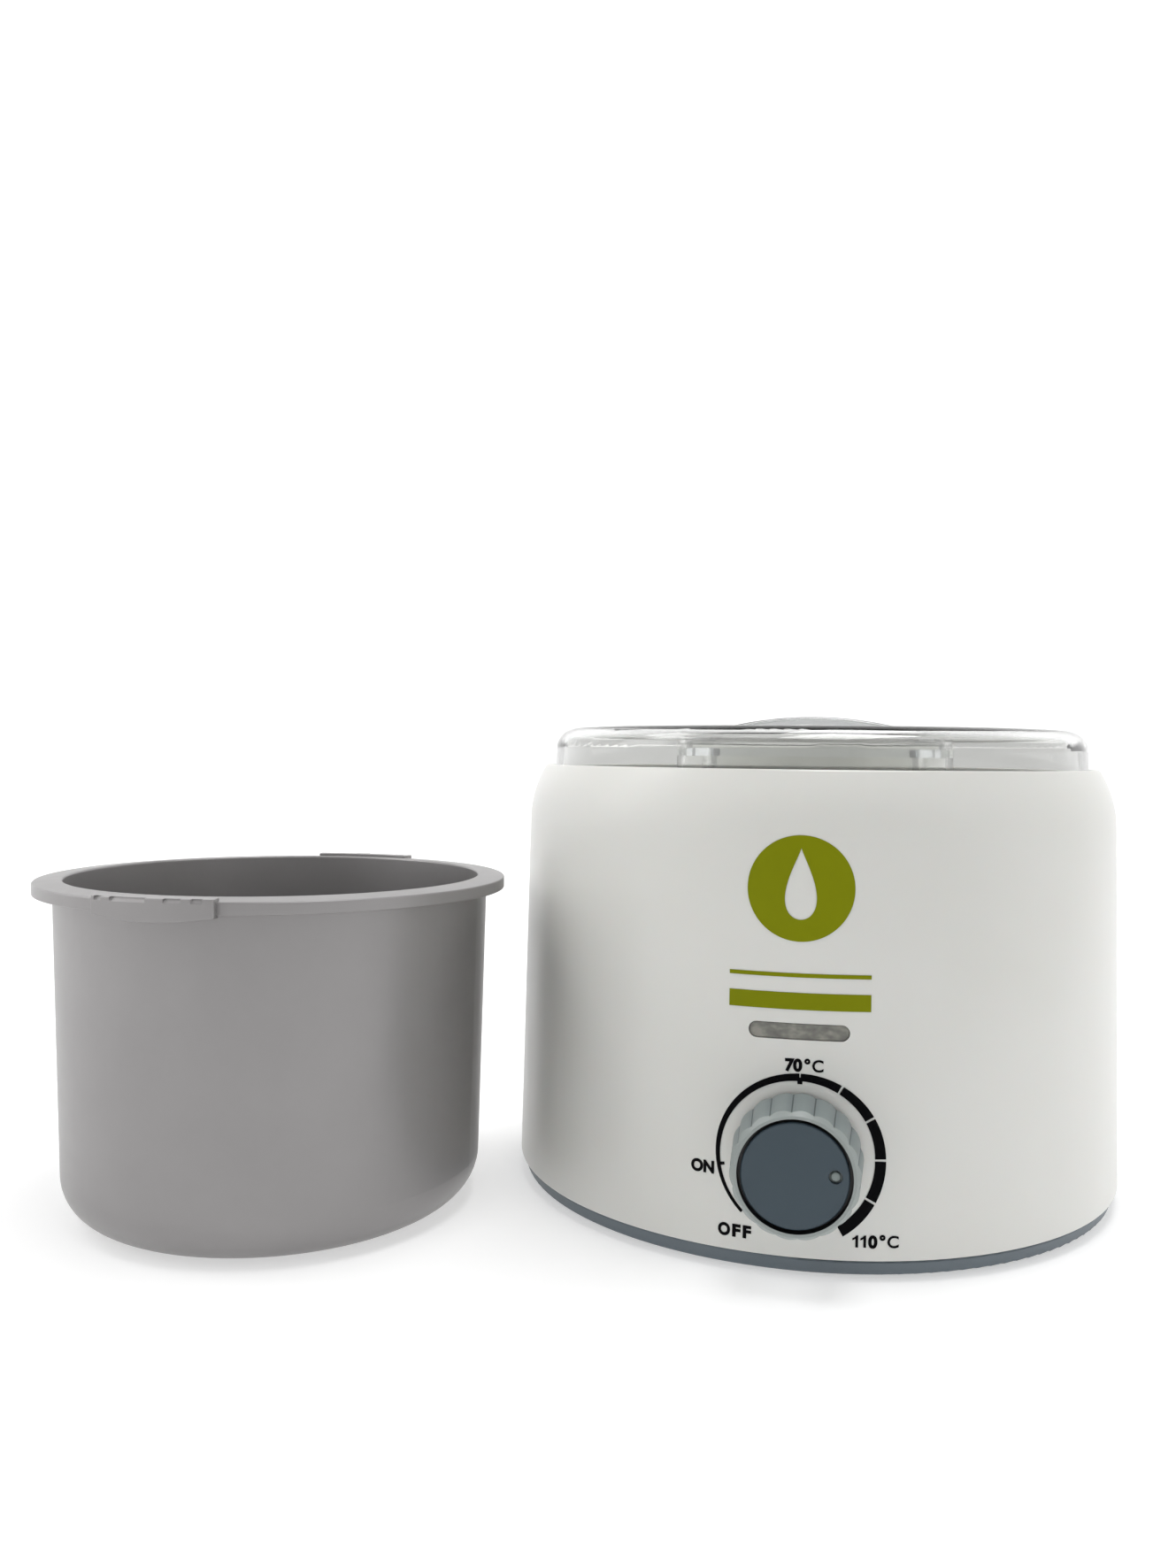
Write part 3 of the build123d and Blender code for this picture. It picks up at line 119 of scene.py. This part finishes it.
class Maker:
    """A material's node tree, with short calls for the nodes used here."""

    def __init__(self, name):
        self.material = bpy.data.materials.new(name)
        self.material.use_nodes = True
        self.tree = self.material.node_tree
        self.shader = self.tree.nodes["Principled BSDF"]
        self.coords = self.tree.nodes.new("ShaderNodeTexCoord").outputs["Object"]

    def set(self, **values):
        for key, value in values.items():
            self.shader.inputs[key.replace("_", " ")].default_value = value

    def link(self, a, b):
        self.tree.links.new(a, b)

    def place(self):
        """X, Y and Z of the point that is being coloured."""
        node = self.tree.nodes.new("ShaderNodeSeparateXYZ")
        self.link(self.coords, node.inputs["Vector"])
        return [node.outputs[axis] for axis in "XYZ"]

    def maths(self, operation, *terms):
        """A sum, whose terms are numbers or the outputs of other nodes."""
        node = self.tree.nodes.new("ShaderNodeMath")
        node.operation = operation
        for socket, term in zip(node.inputs, terms):
            if isinstance(term, float):
                socket.default_value = term
            else:
                self.link(term, socket)
        return node.outputs["Value"]

    def noise(self, scale, detail, rough=0.5, stretch=None):
        node = self.tree.nodes.new("ShaderNodeTexNoise")
        node.inputs["Scale"].default_value = scale
        node.inputs["Detail"].default_value = detail
        node.inputs["Roughness"].default_value = rough
        source = self.coords
        if stretch:
            mapping = self.tree.nodes.new("ShaderNodeMapping")
            mapping.inputs["Scale"].default_value = stretch
            self.link(source, mapping.inputs["Vector"])
            source = mapping.outputs["Vector"]
        self.link(source, node.inputs["Vector"])
        return node.outputs["Fac"]

    def ramp(self, value, stops):
        node = self.tree.nodes.new("ShaderNodeValToRGB")
        elements = node.color_ramp.elements
        while len(elements) < len(stops):
            elements.new(0.5)
        for element, (place, colour) in zip(elements, stops):
            element.position = place
            element.color = colour
        self.link(value, node.inputs["Fac"])
        return node.outputs["Color"]

    def blend(self, share, under, over):
        """A fixed colour laid over another node's colour."""
        node = self.tree.nodes.new("ShaderNodeMix")
        node.data_type = "RGBA"
        self.link(share, node.inputs["Factor"])
        self.link(under, node.inputs["A"])
        node.inputs["B"].default_value = over
        return node.outputs["Result"]

    def spread(self, value, low, high, full=1.0):
        """A value from 0 to full, made to run from low to high."""
        node = self.tree.nodes.new("ShaderNodeMapRange")
        node.inputs["From Max"].default_value = full
        node.inputs["To Min"].default_value = low
        node.inputs["To Max"].default_value = high
        self.link(value, node.inputs["Value"])
        return node.outputs["Result"]

    def bump(self, height, strength, distance, normal=None):
        node = self.tree.nodes.new("ShaderNodeBump")
        node.inputs["Strength"].default_value = strength
        node.inputs["Distance"].default_value = distance
        self.link(height, node.inputs["Height"])
        if normal:
            self.link(normal, node.inputs["Normal"])
        return node.outputs["Normal"]

    def rounded(self, radius):
        """The normal of a surface whose edges are rounded."""
        node = self.tree.nodes.new("ShaderNodeBevel")
        node.samples = 4
        node.inputs["Radius"].default_value = radius
        return node.outputs["Normal"]

    def colour(self, output):
        self.link(output, self.shader.inputs["Base Color"])

    def roughness(self, output):
        self.link(output, self.shader.inputs["Roughness"])

    def normal(self, output):
        self.link(output, self.shader.inputs["Normal"])


FINE = 0.02 * MM  # depth of the finest grain


def mottle(m, value, colour, vary):
    """A colour that drifts a little darker and lighter."""
    dark = tuple(c * (1 - vary) for c in colour[:3]) + (1.0,)
    light = tuple(min(1.0, c * (1 + vary)) for c in colour[:3]) + (1.0,)
    m.colour(m.ramp(value, [(0.3, dark), (0.7, light)]))


def plastic(name, colour, rough=0.4, vary=0.04, grain=2500.0, bump=0.06, edge=0.2 * MM, coat=0.0, gloss=0.5):
    """Moulded plastic: slight mottling, fine spark-eroded grain and softened edges."""
    m = Maker(name)
    mottle(m, m.noise(35.0, 4.0), colour, vary)
    m.roughness(m.spread(m.noise(120.0, 3.0), rough - 0.05, rough + 0.05))
    m.normal(m.bump(m.noise(grain, 2.0), bump, FINE, m.rounded(edge) if edge else None))
    m.set(IOR=1.5, Specular_IOR_Level=gloss)
    if coat:
        m.set(Coat_Weight=coat, Coat_Roughness=0.12)
    return m.material


def metal(name, colour, rough, vary=0.08, stretch=None):
    """Metal with a fine grain, mottled gloss and softened edges."""
    m = Maker(name)
    mottle(m, m.noise(60.0, 5.0), colour, vary)
    grain = m.noise(900.0, 3.0, 0.6, stretch)
    m.roughness(m.spread(grain, rough - 0.08, rough + 0.08))
    m.normal(m.bump(grain, 0.1, FINE, m.rounded(0.15 * MM)))
    m.set(Metallic=1.0)
    return m.material


# ------------------------------------------------------------------ the look of each material
def shell_material():
    """The casing's white plastic: smooth, slightly warm, with a faint waviness."""
    m = Maker("shell_white")
    m.colour(m.ramp(m.noise(12.0, 3.0), [(0.35, srgb(217, 217, 212)), (0.65, srgb(222, 222, 218))]))
    m.roughness(m.spread(m.noise(90.0, 4.0), 0.27, 0.35))
    fine = m.bump(m.noise(1800.0, 2.0), 0.04, FINE, m.rounded(0.25 * MM))
    m.normal(m.bump(m.noise(40.0, 2.0), 0.05, 0.1 * MM, fine))
    m.set(IOR=1.52, Subsurface_Weight=0.05, Subsurface_Scale=0.002)
    return m.material


def lid_material():
    """Clear plastic, almost colourless through one wall and greyer through several."""
    m = Maker("lid_clear")
    m.set(Transmission_Weight=0.98, IOR=1.46)
    m.colour(m.ramp(m.noise(25.0, 2.0), [(0.3, srgb(247, 247, 245)), (0.7, srgb(250, 250, 248))]))
    m.roughness(m.spread(m.noise(400.0, 3.0), 0.0, 0.008))
    m.normal(m.bump(m.noise(60.0, 2.0), 0.015, 0.05 * MM))
    depth = m.tree.nodes.new("ShaderNodeVolumeAbsorption")
    depth.inputs["Color"].default_value = (0.68, 0.72, 0.76, 1)
    depth.inputs["Density"].default_value = 35.0
    m.link(depth.outputs["Volume"], m.tree.nodes["Material Output"].inputs["Volume"])
    return m.material


def lens_material():
    """Smoked lens with pale, blotchy patches where light from inside scatters in it."""
    m = Maker("lens_smoke")
    patches = m.noise(260.0, 2.0, 0.6, (1.0, 1.0, 1.6))
    stops = [(0.36, srgb(104, 103, 97)), (0.5, srgb(124, 124, 115)), (0.64, srgb(152, 150, 140))]
    m.colour(m.ramp(patches, stops))
    m.roughness(m.spread(m.noise(300.0, 2.0), 0.16, 0.24))
    m.normal(m.bump(m.noise(500.0, 2.0), 0.05, FINE, m.rounded(0.15 * MM)))
    m.set(IOR=1.49, Transmission_Weight=0.2, Coat_Weight=0.3, Coat_Roughness=0.08)
    return m.material


LOBES = 18
FIRST_LOBE = 3.5  # degrees from +X to the middle of a lobe
GROOVE_MIDDLE = CAP_RADIUS + 0.38 * MM  # radius of the groove round the dial's cap
GROOVE_HALF = 0.42 * MM  # half of the width painted near black as the shadow in the groove
GROOVE_TOP = DIAL_FRONT + 0.15 * MM
SHOULDER_BACK = DIAL_FRONT + 1.2 * MM  # where the painted highlight on the dial's front shoulder ends


def dial_material():
    """The dial's plastic, with painted light: a groove round its cap painted black as painted shadow, valleys
    between its lobes painted dark as painted shade, and a paler shoulder as a painted highlight.
    """
    m = Maker("dial_grey")
    x, y, z = m.place()
    up = m.maths("SUBTRACT", z, DIAL_Z)
    away = m.maths("SQRT", m.maths("ADD", m.maths("MULTIPLY", x, x), m.maths("MULTIPLY", up, up)))
    turn = m.maths("ARCTAN2", up, x)
    lobes = m.maths("MULTIPLY_ADD", turn, LOBES / (2 * math.pi), -FIRST_LOBE * LOBES / 360.0)
    # painted shade: the valleys between the lobes are painted darker, as the shade that falls in them
    dark, side, light = srgb(70, 79, 81), srgb(120, 129, 130), srgb(128, 137, 137)
    stops = [(0.2, light), (0.455, side), (0.485, dark), (0.515, dark), (0.545, side), (0.8, light)]
    grey = m.ramp(m.maths("FRACT", lobes), stops)
    # painted highlight: the front shoulder is painted paler, as light falling on it
    shoulder_highlight_mask = m.maths("LESS_THAN", y, SHOULDER_BACK)
    grey = m.blend(shoulder_highlight_mask, grey, srgb(146, 153, 151))
    # painted shadow: the groove round the cap is painted near black, as the shade in the gap between the cap
    # and the skirt
    groove_shadow_mask = m.maths("COMPARE", away, GROOVE_MIDDLE, GROOVE_HALF)
    below_face = m.maths("GREATER_THAN", y, GROOVE_TOP)
    m.colour(m.blend(m.maths("MULTIPLY", groove_shadow_mask, below_face), grey, srgb(8, 9, 12)))
    m.roughness(m.spread(m.noise(120.0, 3.0), 0.33, 0.42))
    m.normal(m.bump(m.noise(2500.0, 2.0), 0.06, FINE, m.rounded(0.1 * MM)))
    m.set(IOR=1.5)
    return m.material


def pot_material():
    """Die-cast aluminium with a matt, blasted and anodised skin and faint turning lines."""
    m = Maker("pot_aluminium")
    m.colour(m.ramp(m.noise(45.0, 5.0), [(0.3, srgb(143, 141, 141)), (0.7, srgb(147, 145, 145))]))
    m.roughness(m.spread(m.noise(220.0, 4.0), 0.36, 0.42))
    rings = m.bump(m.noise(1400.0, 2.0, 0.5, (0.02, 0.02, 1.0)), 0.05, FINE, m.rounded(0.25 * MM))
    m.normal(m.bump(m.noise(2600.0, 2.0), 0.12, FINE, rings))
    m.set(Metallic=0.6)
    return m.material


def sleeve_material():
    """Woven glass-fibre sleeve."""
    m = Maker("fibre_sleeve")
    weave = m.tree.nodes.new("ShaderNodeTexWave")
    weave.inputs["Scale"].default_value = 320.0
    weave.inputs["Distortion"].default_value = 1.5
    m.link(m.coords, weave.inputs["Vector"])
    m.colour(m.ramp(weave.outputs["Fac"], [(0.2, srgb(196, 188, 166)), (0.8, srgb(226, 220, 202))]))
    m.normal(m.bump(weave.outputs["Fac"], 0.6, 0.2 * MM))
    m.set(Roughness=0.9, Sheen_Weight=0.3)
    return m.material


def board_material():
    """The lamp board's green laminate."""
    m = Maker("board_laminate")
    m.colour(m.ramp(m.noise(500.0, 4.0), [(0.35, srgb(28, 82, 48)), (0.65, srgb(38, 100, 60))]))
    m.normal(m.bump(m.noise(1500.0, 2.0), 0.1, FINE))
    m.set(Roughness=0.45, Coat_Weight=0.4)
    return m.material


def earth_wire_material():
    """Green insulation with a yellow stripe."""
    m = Maker("wire_green")
    wave = m.tree.nodes.new("ShaderNodeTexWave")
    wave.inputs["Scale"].default_value = 90.0
    m.link(m.coords, wave.inputs["Vector"])
    m.colour(m.ramp(wave.outputs["Fac"], [(0.45, srgb(52, 128, 40)), (0.55, srgb(216, 200, 40))]))
    m.normal(m.bump(m.noise(1800.0, 2.0), 0.1, FINE))
    m.set(Roughness=0.45)
    return m.material


looks = {
    "shell_white": shell_material(),
    "base_grey": plastic("base_grey", srgb(92, 102, 109), rough=0.46, bump=0.1),
    "foot_rubber": plastic("foot_rubber", srgb(52, 52, 54), rough=0.75, bump=0.3, grain=1500.0),
    "lid_clear": lid_material(),
    "pot_aluminium": pot_material(),
    "well_aluminium": metal("well_aluminium", srgb(190, 190, 190), rough=0.32, stretch=(0.03, 0.03, 1.0)),
    "band_steel": metal("band_steel", srgb(168, 156, 140), rough=0.4, vary=0.16),
    "fibre_sleeve": sleeve_material(),
    "steel_hardware": metal("steel_hardware", srgb(186, 186, 184), rough=0.3),
    "brass_hardware": metal("brass_hardware", srgb(206, 172, 98), rough=0.28),
    "sensor_copper": metal("sensor_copper", srgb(196, 128, 92), rough=0.3, vary=0.12),
    "thermostat_black": plastic("thermostat_black", srgb(34, 34, 34), rough=0.5),
    "board_laminate": board_material(),
    "led_epoxy": plastic("led_epoxy", srgb(226, 214, 190), rough=0.15, coat=0.6),
    "lens_smoke": lens_material(),
    "dial_grey": dial_material(),
    "dial_face": plastic("dial_face", srgb(46, 62, 72), rough=0.42, vary=0.03),
    "pointer_grey": plastic("pointer_grey", srgb(120, 130, 128), rough=0.4),
    "block_ceramic": plastic("block_ceramic", srgb(228, 222, 206), rough=0.35, coat=0.3),
    "gland_black": plastic("gland_black", srgb(38, 38, 39), rough=0.45, bump=0.12),
    "wire_brown": plastic("wire_brown", srgb(98, 58, 36), rough=0.45),
    "wire_blue": plastic("wire_blue", srgb(40, 84, 160), rough=0.45),
    "wire_green": earth_wire_material(),
    "wire_white": plastic("wire_white", srgb(222, 222, 216), rough=0.45),
    "mica_grey": plastic("mica_grey", srgb(190, 184, 170), rough=0.5),
    "ink_black": plastic("ink_black", srgb(4, 4, 6), rough=0.6, vary=0.1, edge=0, gloss=0.05),
    "ink_olive": plastic("ink_olive", srgb(126, 132, 2), rough=0.5, vary=0.05, edge=0, gloss=0.1),
}

for entry in frame["record"]["subparts"]:
    mesh = nodes[entry["node"]].data
    mesh.materials.clear()
    mesh.materials.append(looks[entry["material_slot"]])


# ------------------------------------------------------------------ print on the casing
INK_LIFT = 0.08 * MM  # how far the print stands off the casing
BEND_STEP = 1.0 * MM  # width of the strips that a flat drawing is cut into before it is bent


def on_wall(x, z):
    """The point of the casing's front wall straight behind a point seen from the front."""
    share = (z - SHELL_BOTTOM) / (SHOULDER_START - SHELL_BOTTOM)
    r = BASE_RADIUS + share * (SHOULDER_RADIUS - BASE_RADIUS) + INK_LIFT
    return Vector((x, -math.sqrt(max(r * r - x * x, 0.0)), z))


def wrap(name, bm, ink):
    """Bends a flat drawing, with x across and y up, on to the casing's wall."""
    low = min(v.co.x for v in bm.verts)
    high = max(v.co.x for v in bm.verts)
    x = math.floor(low / BEND_STEP) * BEND_STEP
    while x < high:
        everything = bm.verts[:] + bm.edges[:] + bm.faces[:]
        bmesh.ops.bisect_plane(bm, geom=everything, plane_co=(x, 0, 0), plane_no=(1, 0, 0), dist=1e-7)
        x += BEND_STEP
    for v in bm.verts:
        v.co = on_wall(v.co.x, v.co.y)
    bmesh.ops.recalc_face_normals(bm, faces=bm.faces[:])
    for face in bm.faces:
        if face.normal.y > 0:
            face.normal_flip()
    piece = placed(name, mesh_from(name, bm, looks[ink]))
    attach(piece, "warmer")


def flat_mesh(curve):
    """A bmesh of a filled 2-D curve or text."""
    holder = placed("drawing", curve)
    bpy.context.view_layer.update()
    graph = bpy.context.evaluated_depsgraph_get()
    mesh = bpy.data.meshes.new_from_object(holder.evaluated_get(graph))
    bm = bmesh.new()
    bm.from_mesh(mesh)
    bpy.data.objects.remove(holder)
    bpy.data.meshes.remove(mesh)
    return bm


CAP_SHARE = 0.729  # a capital's height as a share of the font's size
LETTER_HEIGHT = 2.65 * MM
LETTER_GAP = 0.42 * MM
BOLD = 0.068  # how much an outline is fattened, as a share of the letters' height
LIGHT = 0.03


def digit_one():
    """A bmesh of a bold 1 of unit height, with a flag, standing at the origin."""
    bm = bmesh.new()
    stem = [(0.26, 0.0), (0.48, 0.0), (0.48, 1.0), (0.33, 1.0), (0.26, 0.9)]
    flag = [(0.26, 0.9), (0.16, 0.82), (0.02, 0.76), (0.02, 0.59), (0.15, 0.64), (0.26, 0.71)]
    for outline in (stem, flag):
        bm.faces.new([bm.verts.new((x, y, 0)) for x, y in outline])
    return bm


def letters(text, weight, squeeze=1.0):
    """A bmesh of a piece of lettering with its lower left corner at the origin."""
    if text == "1":
        bm = digit_one()
        bmesh.ops.scale(bm, verts=bm.verts[:], vec=(LETTER_HEIGHT, LETTER_HEIGHT, 1))
        return bm
    curve = bpy.data.curves.new("lettering", "FONT")
    curve.body = text
    curve.size = LETTER_HEIGHT / CAP_SHARE
    curve.offset = weight * LETTER_HEIGHT
    bm = flat_mesh(curve)
    left = min(v.co.x for v in bm.verts)
    bmesh.ops.translate(bm, verts=bm.verts[:], vec=(-left, 0, 0))
    bmesh.ops.scale(bm, verts=bm.verts[:], vec=(squeeze, 1, 1))
    return bm


def label(name, parts, left, base, width):
    """Lettering set from its left end on a base line, and fitted to a width.

    Each part is a text, its weight and, where it is narrower than the font's, its width's share.
    """
    whole = bmesh.new()
    x = 0.0
    for part in parts:
        bm = letters(*part)
        bmesh.ops.translate(bm, verts=bm.verts[:], vec=(x, 0, 0))
        x = max(v.co.x for v in bm.verts) + LETTER_GAP
        mesh = bpy.data.meshes.new("part")
        bm.to_mesh(mesh)
        bm.free()
        whole.from_mesh(mesh)
        bpy.data.meshes.remove(mesh)
    span = max(v.co.x for v in whole.verts)
    for v in whole.verts:
        v.co = Vector((left + v.co.x * width / span, base + v.co.y, 0))
    wrap(name, whole, "ink_black")


CELSIUS = [("°", 0.055), ("C", LIGHT)]
label("print_70", [("70", BOLD)] + CELSIUS, -2.9 * MM, DIAL_Z + 18.8 * MM, 8.3 * MM)
label("print_on", [("ON", BOLD)], -23.5 * MM, DIAL_Z - 5.6 * MM, 5.3 * MM)
label("print_off", [("O", BOLD, 0.8), ("F", BOLD), ("F", BOLD)], -17.1 * MM, DIAL_Z - 18.8 * MM, 7.4 * MM)
label("print_110", [("1", BOLD), ("1", BOLD), ("0", BOLD)] + CELSIUS, 12.0 * MM, DIAL_Z - 18.9 * MM, 9.9 * MM)

# The scale round the dial. Its angles are in degrees clockwise from the top.
SCALE_X = 0.4 * MM
TOP_TICK = 0.0
ON_TICK = -100.5
TICKS = ((TOP_TICK, 1.1 * MM, 0.65 * MM), (ON_TICK, 0.7 * MM, 0.9 * MM))  # angle, width and length
GAP_ANGLES = (30.0, 60.0, 90.0, 120.0)
GAP = 0.8  # half of a gap
# angle, width and outer radius of the band, which swells clockwise
BAND = (
    (-137.0, 0.7, 18.3),
    (-105.0, 0.82, 18.3),
    (-85.0, 1.05, 18.3),
    (-45.0, 1.35, 18.25),
    (0.0, 1.65, 18.25),
    (90.0, 2.35, 18.55),
    (150.0, 2.5, 19.2),
)


def band(angle):
    """The band's width and outer radius at an angle."""
    for (a0, w0, r0), (a1, w1, r1) in zip(BAND, BAND[1:]):
        if angle <= a1:
            share = (angle - a0) / (a1 - a0)
            return (w0 + (w1 - w0) * share) * MM, (r0 + (r1 - r0) * share) * MM
    raise ValueError(angle)


def dial_point(radius, angle):
    """A point of the flat drawing, at an angle round the dial."""
    a = math.radians(angle)
    return (SCALE_X + radius * math.sin(a), DIAL_Z + radius * math.cos(a), 0)


def arc_strip(bm, start, end, outer, inner):
    """Fills a strip between two radii, each given as a function of the angle."""
    steps = max(2, int((end - start) / 2))
    rows = []
    for i in range(steps + 1):
        angle = start + (end - start) * i / steps
        rows.append([bm.verts.new(dial_point(r(angle), angle)) for r in (outer, inner)])
    for (a, b), (c, d) in zip(rows, rows[1:]):
        bm.faces.new((a, c, d, b))


def scale_band():
    """The band that swells from OFF to the hottest setting, with its gaps and its two ticks."""
    def rim(angle):
        return band(angle)[1]

    def middle(angle):
        return band(angle)[1] - band(angle)[0] / 2

    def inside(angle):
        return band(angle)[1] - band(angle)[0]

    bm = bmesh.new()
    edges = [BAND[0][0]] + [g + s * GAP for g in GAP_ANGLES for s in (-1, 1)] + [BAND[-1][0]]
    for start, end in zip(edges[::2], edges[1::2]):
        if start < TOP_TICK < end:
            arc_strip(bm, start, TOP_TICK - GAP / 2, rim, middle)
            arc_strip(bm, TOP_TICK + GAP / 2, end, rim, middle)
            arc_strip(bm, start, end, middle, inside)
        else:
            arc_strip(bm, start, end, rim, inside)
    for angle, width, length in TICKS:
        root = inside(angle)
        spread = math.degrees(width / 2 / root)
        arc_strip(bm, angle - spread, angle + spread, lambda a: root, lambda a: root - length)
    wrap("print_scale", bm, "ink_black")


scale_band()


def drawing(name, loops, ink):
    """Wraps a filled drawing given by its closed loops on to the wall."""
    curve = bpy.data.curves.new(name, "CURVE")
    curve.dimensions = "2D"
    curve.fill_mode = "BOTH"
    for loop in loops:
        spline = curve.splines.new("POLY")
        spline.points.add(len(loop) - 1)
        for point, (x, y) in zip(spline.points, loop):
            point.co = (x, y, 0, 1)
        spline.use_cyclic_u = True
    wrap(name, flat_mesh(curve), ink)


def drop(width, height, z):
    """A falling drop's outline, about its middle."""
    steps = [2 * math.pi * i / 72 for i in range(72)]
    return [(width / 2 * math.sin(t) * math.sin(t / 2) ** 1.4, z + height / 2 * math.cos(t)) for t in steps]


def disc(radius, z):
    """A disc's outline, about its middle."""
    steps = [2 * math.pi * i / 96 for i in range(96)]
    return [(radius * math.cos(t), z + radius * math.sin(t)) for t in steps]


def bar(width, height, z):
    """A bar's outline, about its middle."""
    w, h = width / 2, height / 2
    return [(-w, z - h), (w, z - h), (w, z + h), (-w, z + h)]


MARK_Z = 85.2 * MM
BAR_WIDTH = 30.6 * MM
drawing("print_mark", [disc(11.6 * MM, MARK_Z), drop(9.6 * MM, 15.6 * MM, MARK_Z + 1.0 * MM)], "ink_olive")
drawing("print_line", [bar(BAR_WIDTH, 0.9 * MM, 66.3 * MM)], "ink_olive")
drawing("print_bar", [bar(BAR_WIDTH, 3.7 * MM, 60.65 * MM)], "ink_olive")


# ------------------------------------------------------------------ the studio
FLOOR_RADIUS = 0.6  # metres, of the flat part
SWEEP = 0.7  # metres, radius of the curve from the floor to the wall
WALL_HEIGHT = 2.2
FADE_HEIGHT = 0.1  # height at which the floor's shade and glow have become the wall's
FLOOR_SHADE, WALL_SHADE = 0.6, 0.9
FLOOR_GLOW, WALL_GLOW = 0.5, 0.22


def studio():
    """A white floor that sweeps up into a round wall, both of which glow a little."""
    section = [(0.02, 0.0), (0.25, 0.0)]
    for i in range(9):
        a = math.pi / 2 * i / 8
        section.append((FLOOR_RADIUS + SWEEP * math.sin(a), SWEEP - SWEEP * math.cos(a)))
    section.append((FLOOR_RADIUS + SWEEP, WALL_HEIGHT))
    around = [2 * math.pi * k / 96 for k in range(96)]
    bm = bmesh.new()
    rings = [[bm.verts.new((r * math.cos(a), r * math.sin(a), z)) for a in around] for r, z in section]
    bm.faces.new(rings[0])
    for low, high in zip(rings, rings[1:]):
        for k in range(-1, len(around) - 1):
            bm.faces.new((low[k], high[k], high[k + 1], low[k + 1]))
    for face in bm.faces:
        face.smooth = True
    m = Maker("studio_white")
    m.set(Roughness=0.9, Specular_IOR_Level=0.1, Emission_Color=(1, 1, 1, 1))
    rise = m.spread(m.place()[2], 0.0, 1.0, FADE_HEIGHT)
    m.link(m.spread(rise, FLOOR_GLOW, WALL_GLOW), m.shader.inputs["Emission Strength"])
    m.colour(m.ramp(rise, [(0.0, (FLOOR_SHADE,) * 3 + (1,)), (1.0, (WALL_SHADE,) * 3 + (1,))]))
    floor = placed("studio_floor", mesh_from("studio_floor", bm, m.material))


def card(name, centre, width, height, shade, rays):
    """An upright card facing the object, which only diffuse or only transmitted rays meet."""
    middle = Vector(centre)
    across = Vector((middle.y, -middle.x, 0)).normalized() * width / 2
    up = Vector((0, 0, height / 2))
    bm = bmesh.new()
    corners = [middle + i * across + j * up for i, j in ((-1, -1), (1, -1), (1, 1), (-1, 1))]
    bm.faces.new([bm.verts.new(corner) for corner in corners])
    m = Maker(name)
    m.set(Base_Color=(shade, shade, shade, 1), Roughness=0.9)
    item = placed(name, mesh_from(name, bm, m.material))
    item.visible_camera = False
    item.visible_glossy = False
    item.visible_shadow = False
    item.visible_diffuse = rays == "diffuse"
    item.visible_transmission = rays == "transmission"


def lamp(name, place, target, width, height, power):
    """A soft rectangular lamp turned to its target."""
    data = bpy.data.lights.new(name, "AREA")
    data.shape = "RECTANGLE"
    data.size = width
    data.size_y = height
    data.energy = power
    item = placed(name, data)
    item.location = place
    item.rotation_mode = "QUATERNION"
    item.rotation_quaternion = (Vector(target) - Vector(place)).to_track_quat("-Z", "Y")


studio()
# keeps the casing's front from washing out
card("dark_card", (0.1, -0.8, 0.46), 1.5, 0.86, 0.04, "diffuse")
# what is seen through the lid
card("rear_card", (0.0, 0.75, 0.14), 1.4, 0.2, 0.52, "transmission")
lamp("left", (-1.0, -0.25, 0.6), (0, 0, 0.06), 0.5, 0.9, 1.9)
lamp("top", (0.15, -0.05, 1.4), (0, 0, 0.1), 0.9, 0.5, 10.2)
lamp("top_left", (-0.95, -0.05, 1.25), (0, 0, 0.1), 0.4, 0.4, 2.5)

scene.world = bpy.data.worlds.new("world")
scene.world.use_nodes = True
sky = scene.world.node_tree.nodes["Background"]
sky.inputs["Color"].default_value = (1, 1, 1, 1)
sky.inputs["Strength"].default_value = 0.08
# a ray can cross six walls of the lid, which are twelve surfaces, and come back
scene.cycles.max_bounces = 24
scene.cycles.transmission_bounces = 24
scene.view_settings.view_transform = "Standard"
scene.view_settings.look = "None"
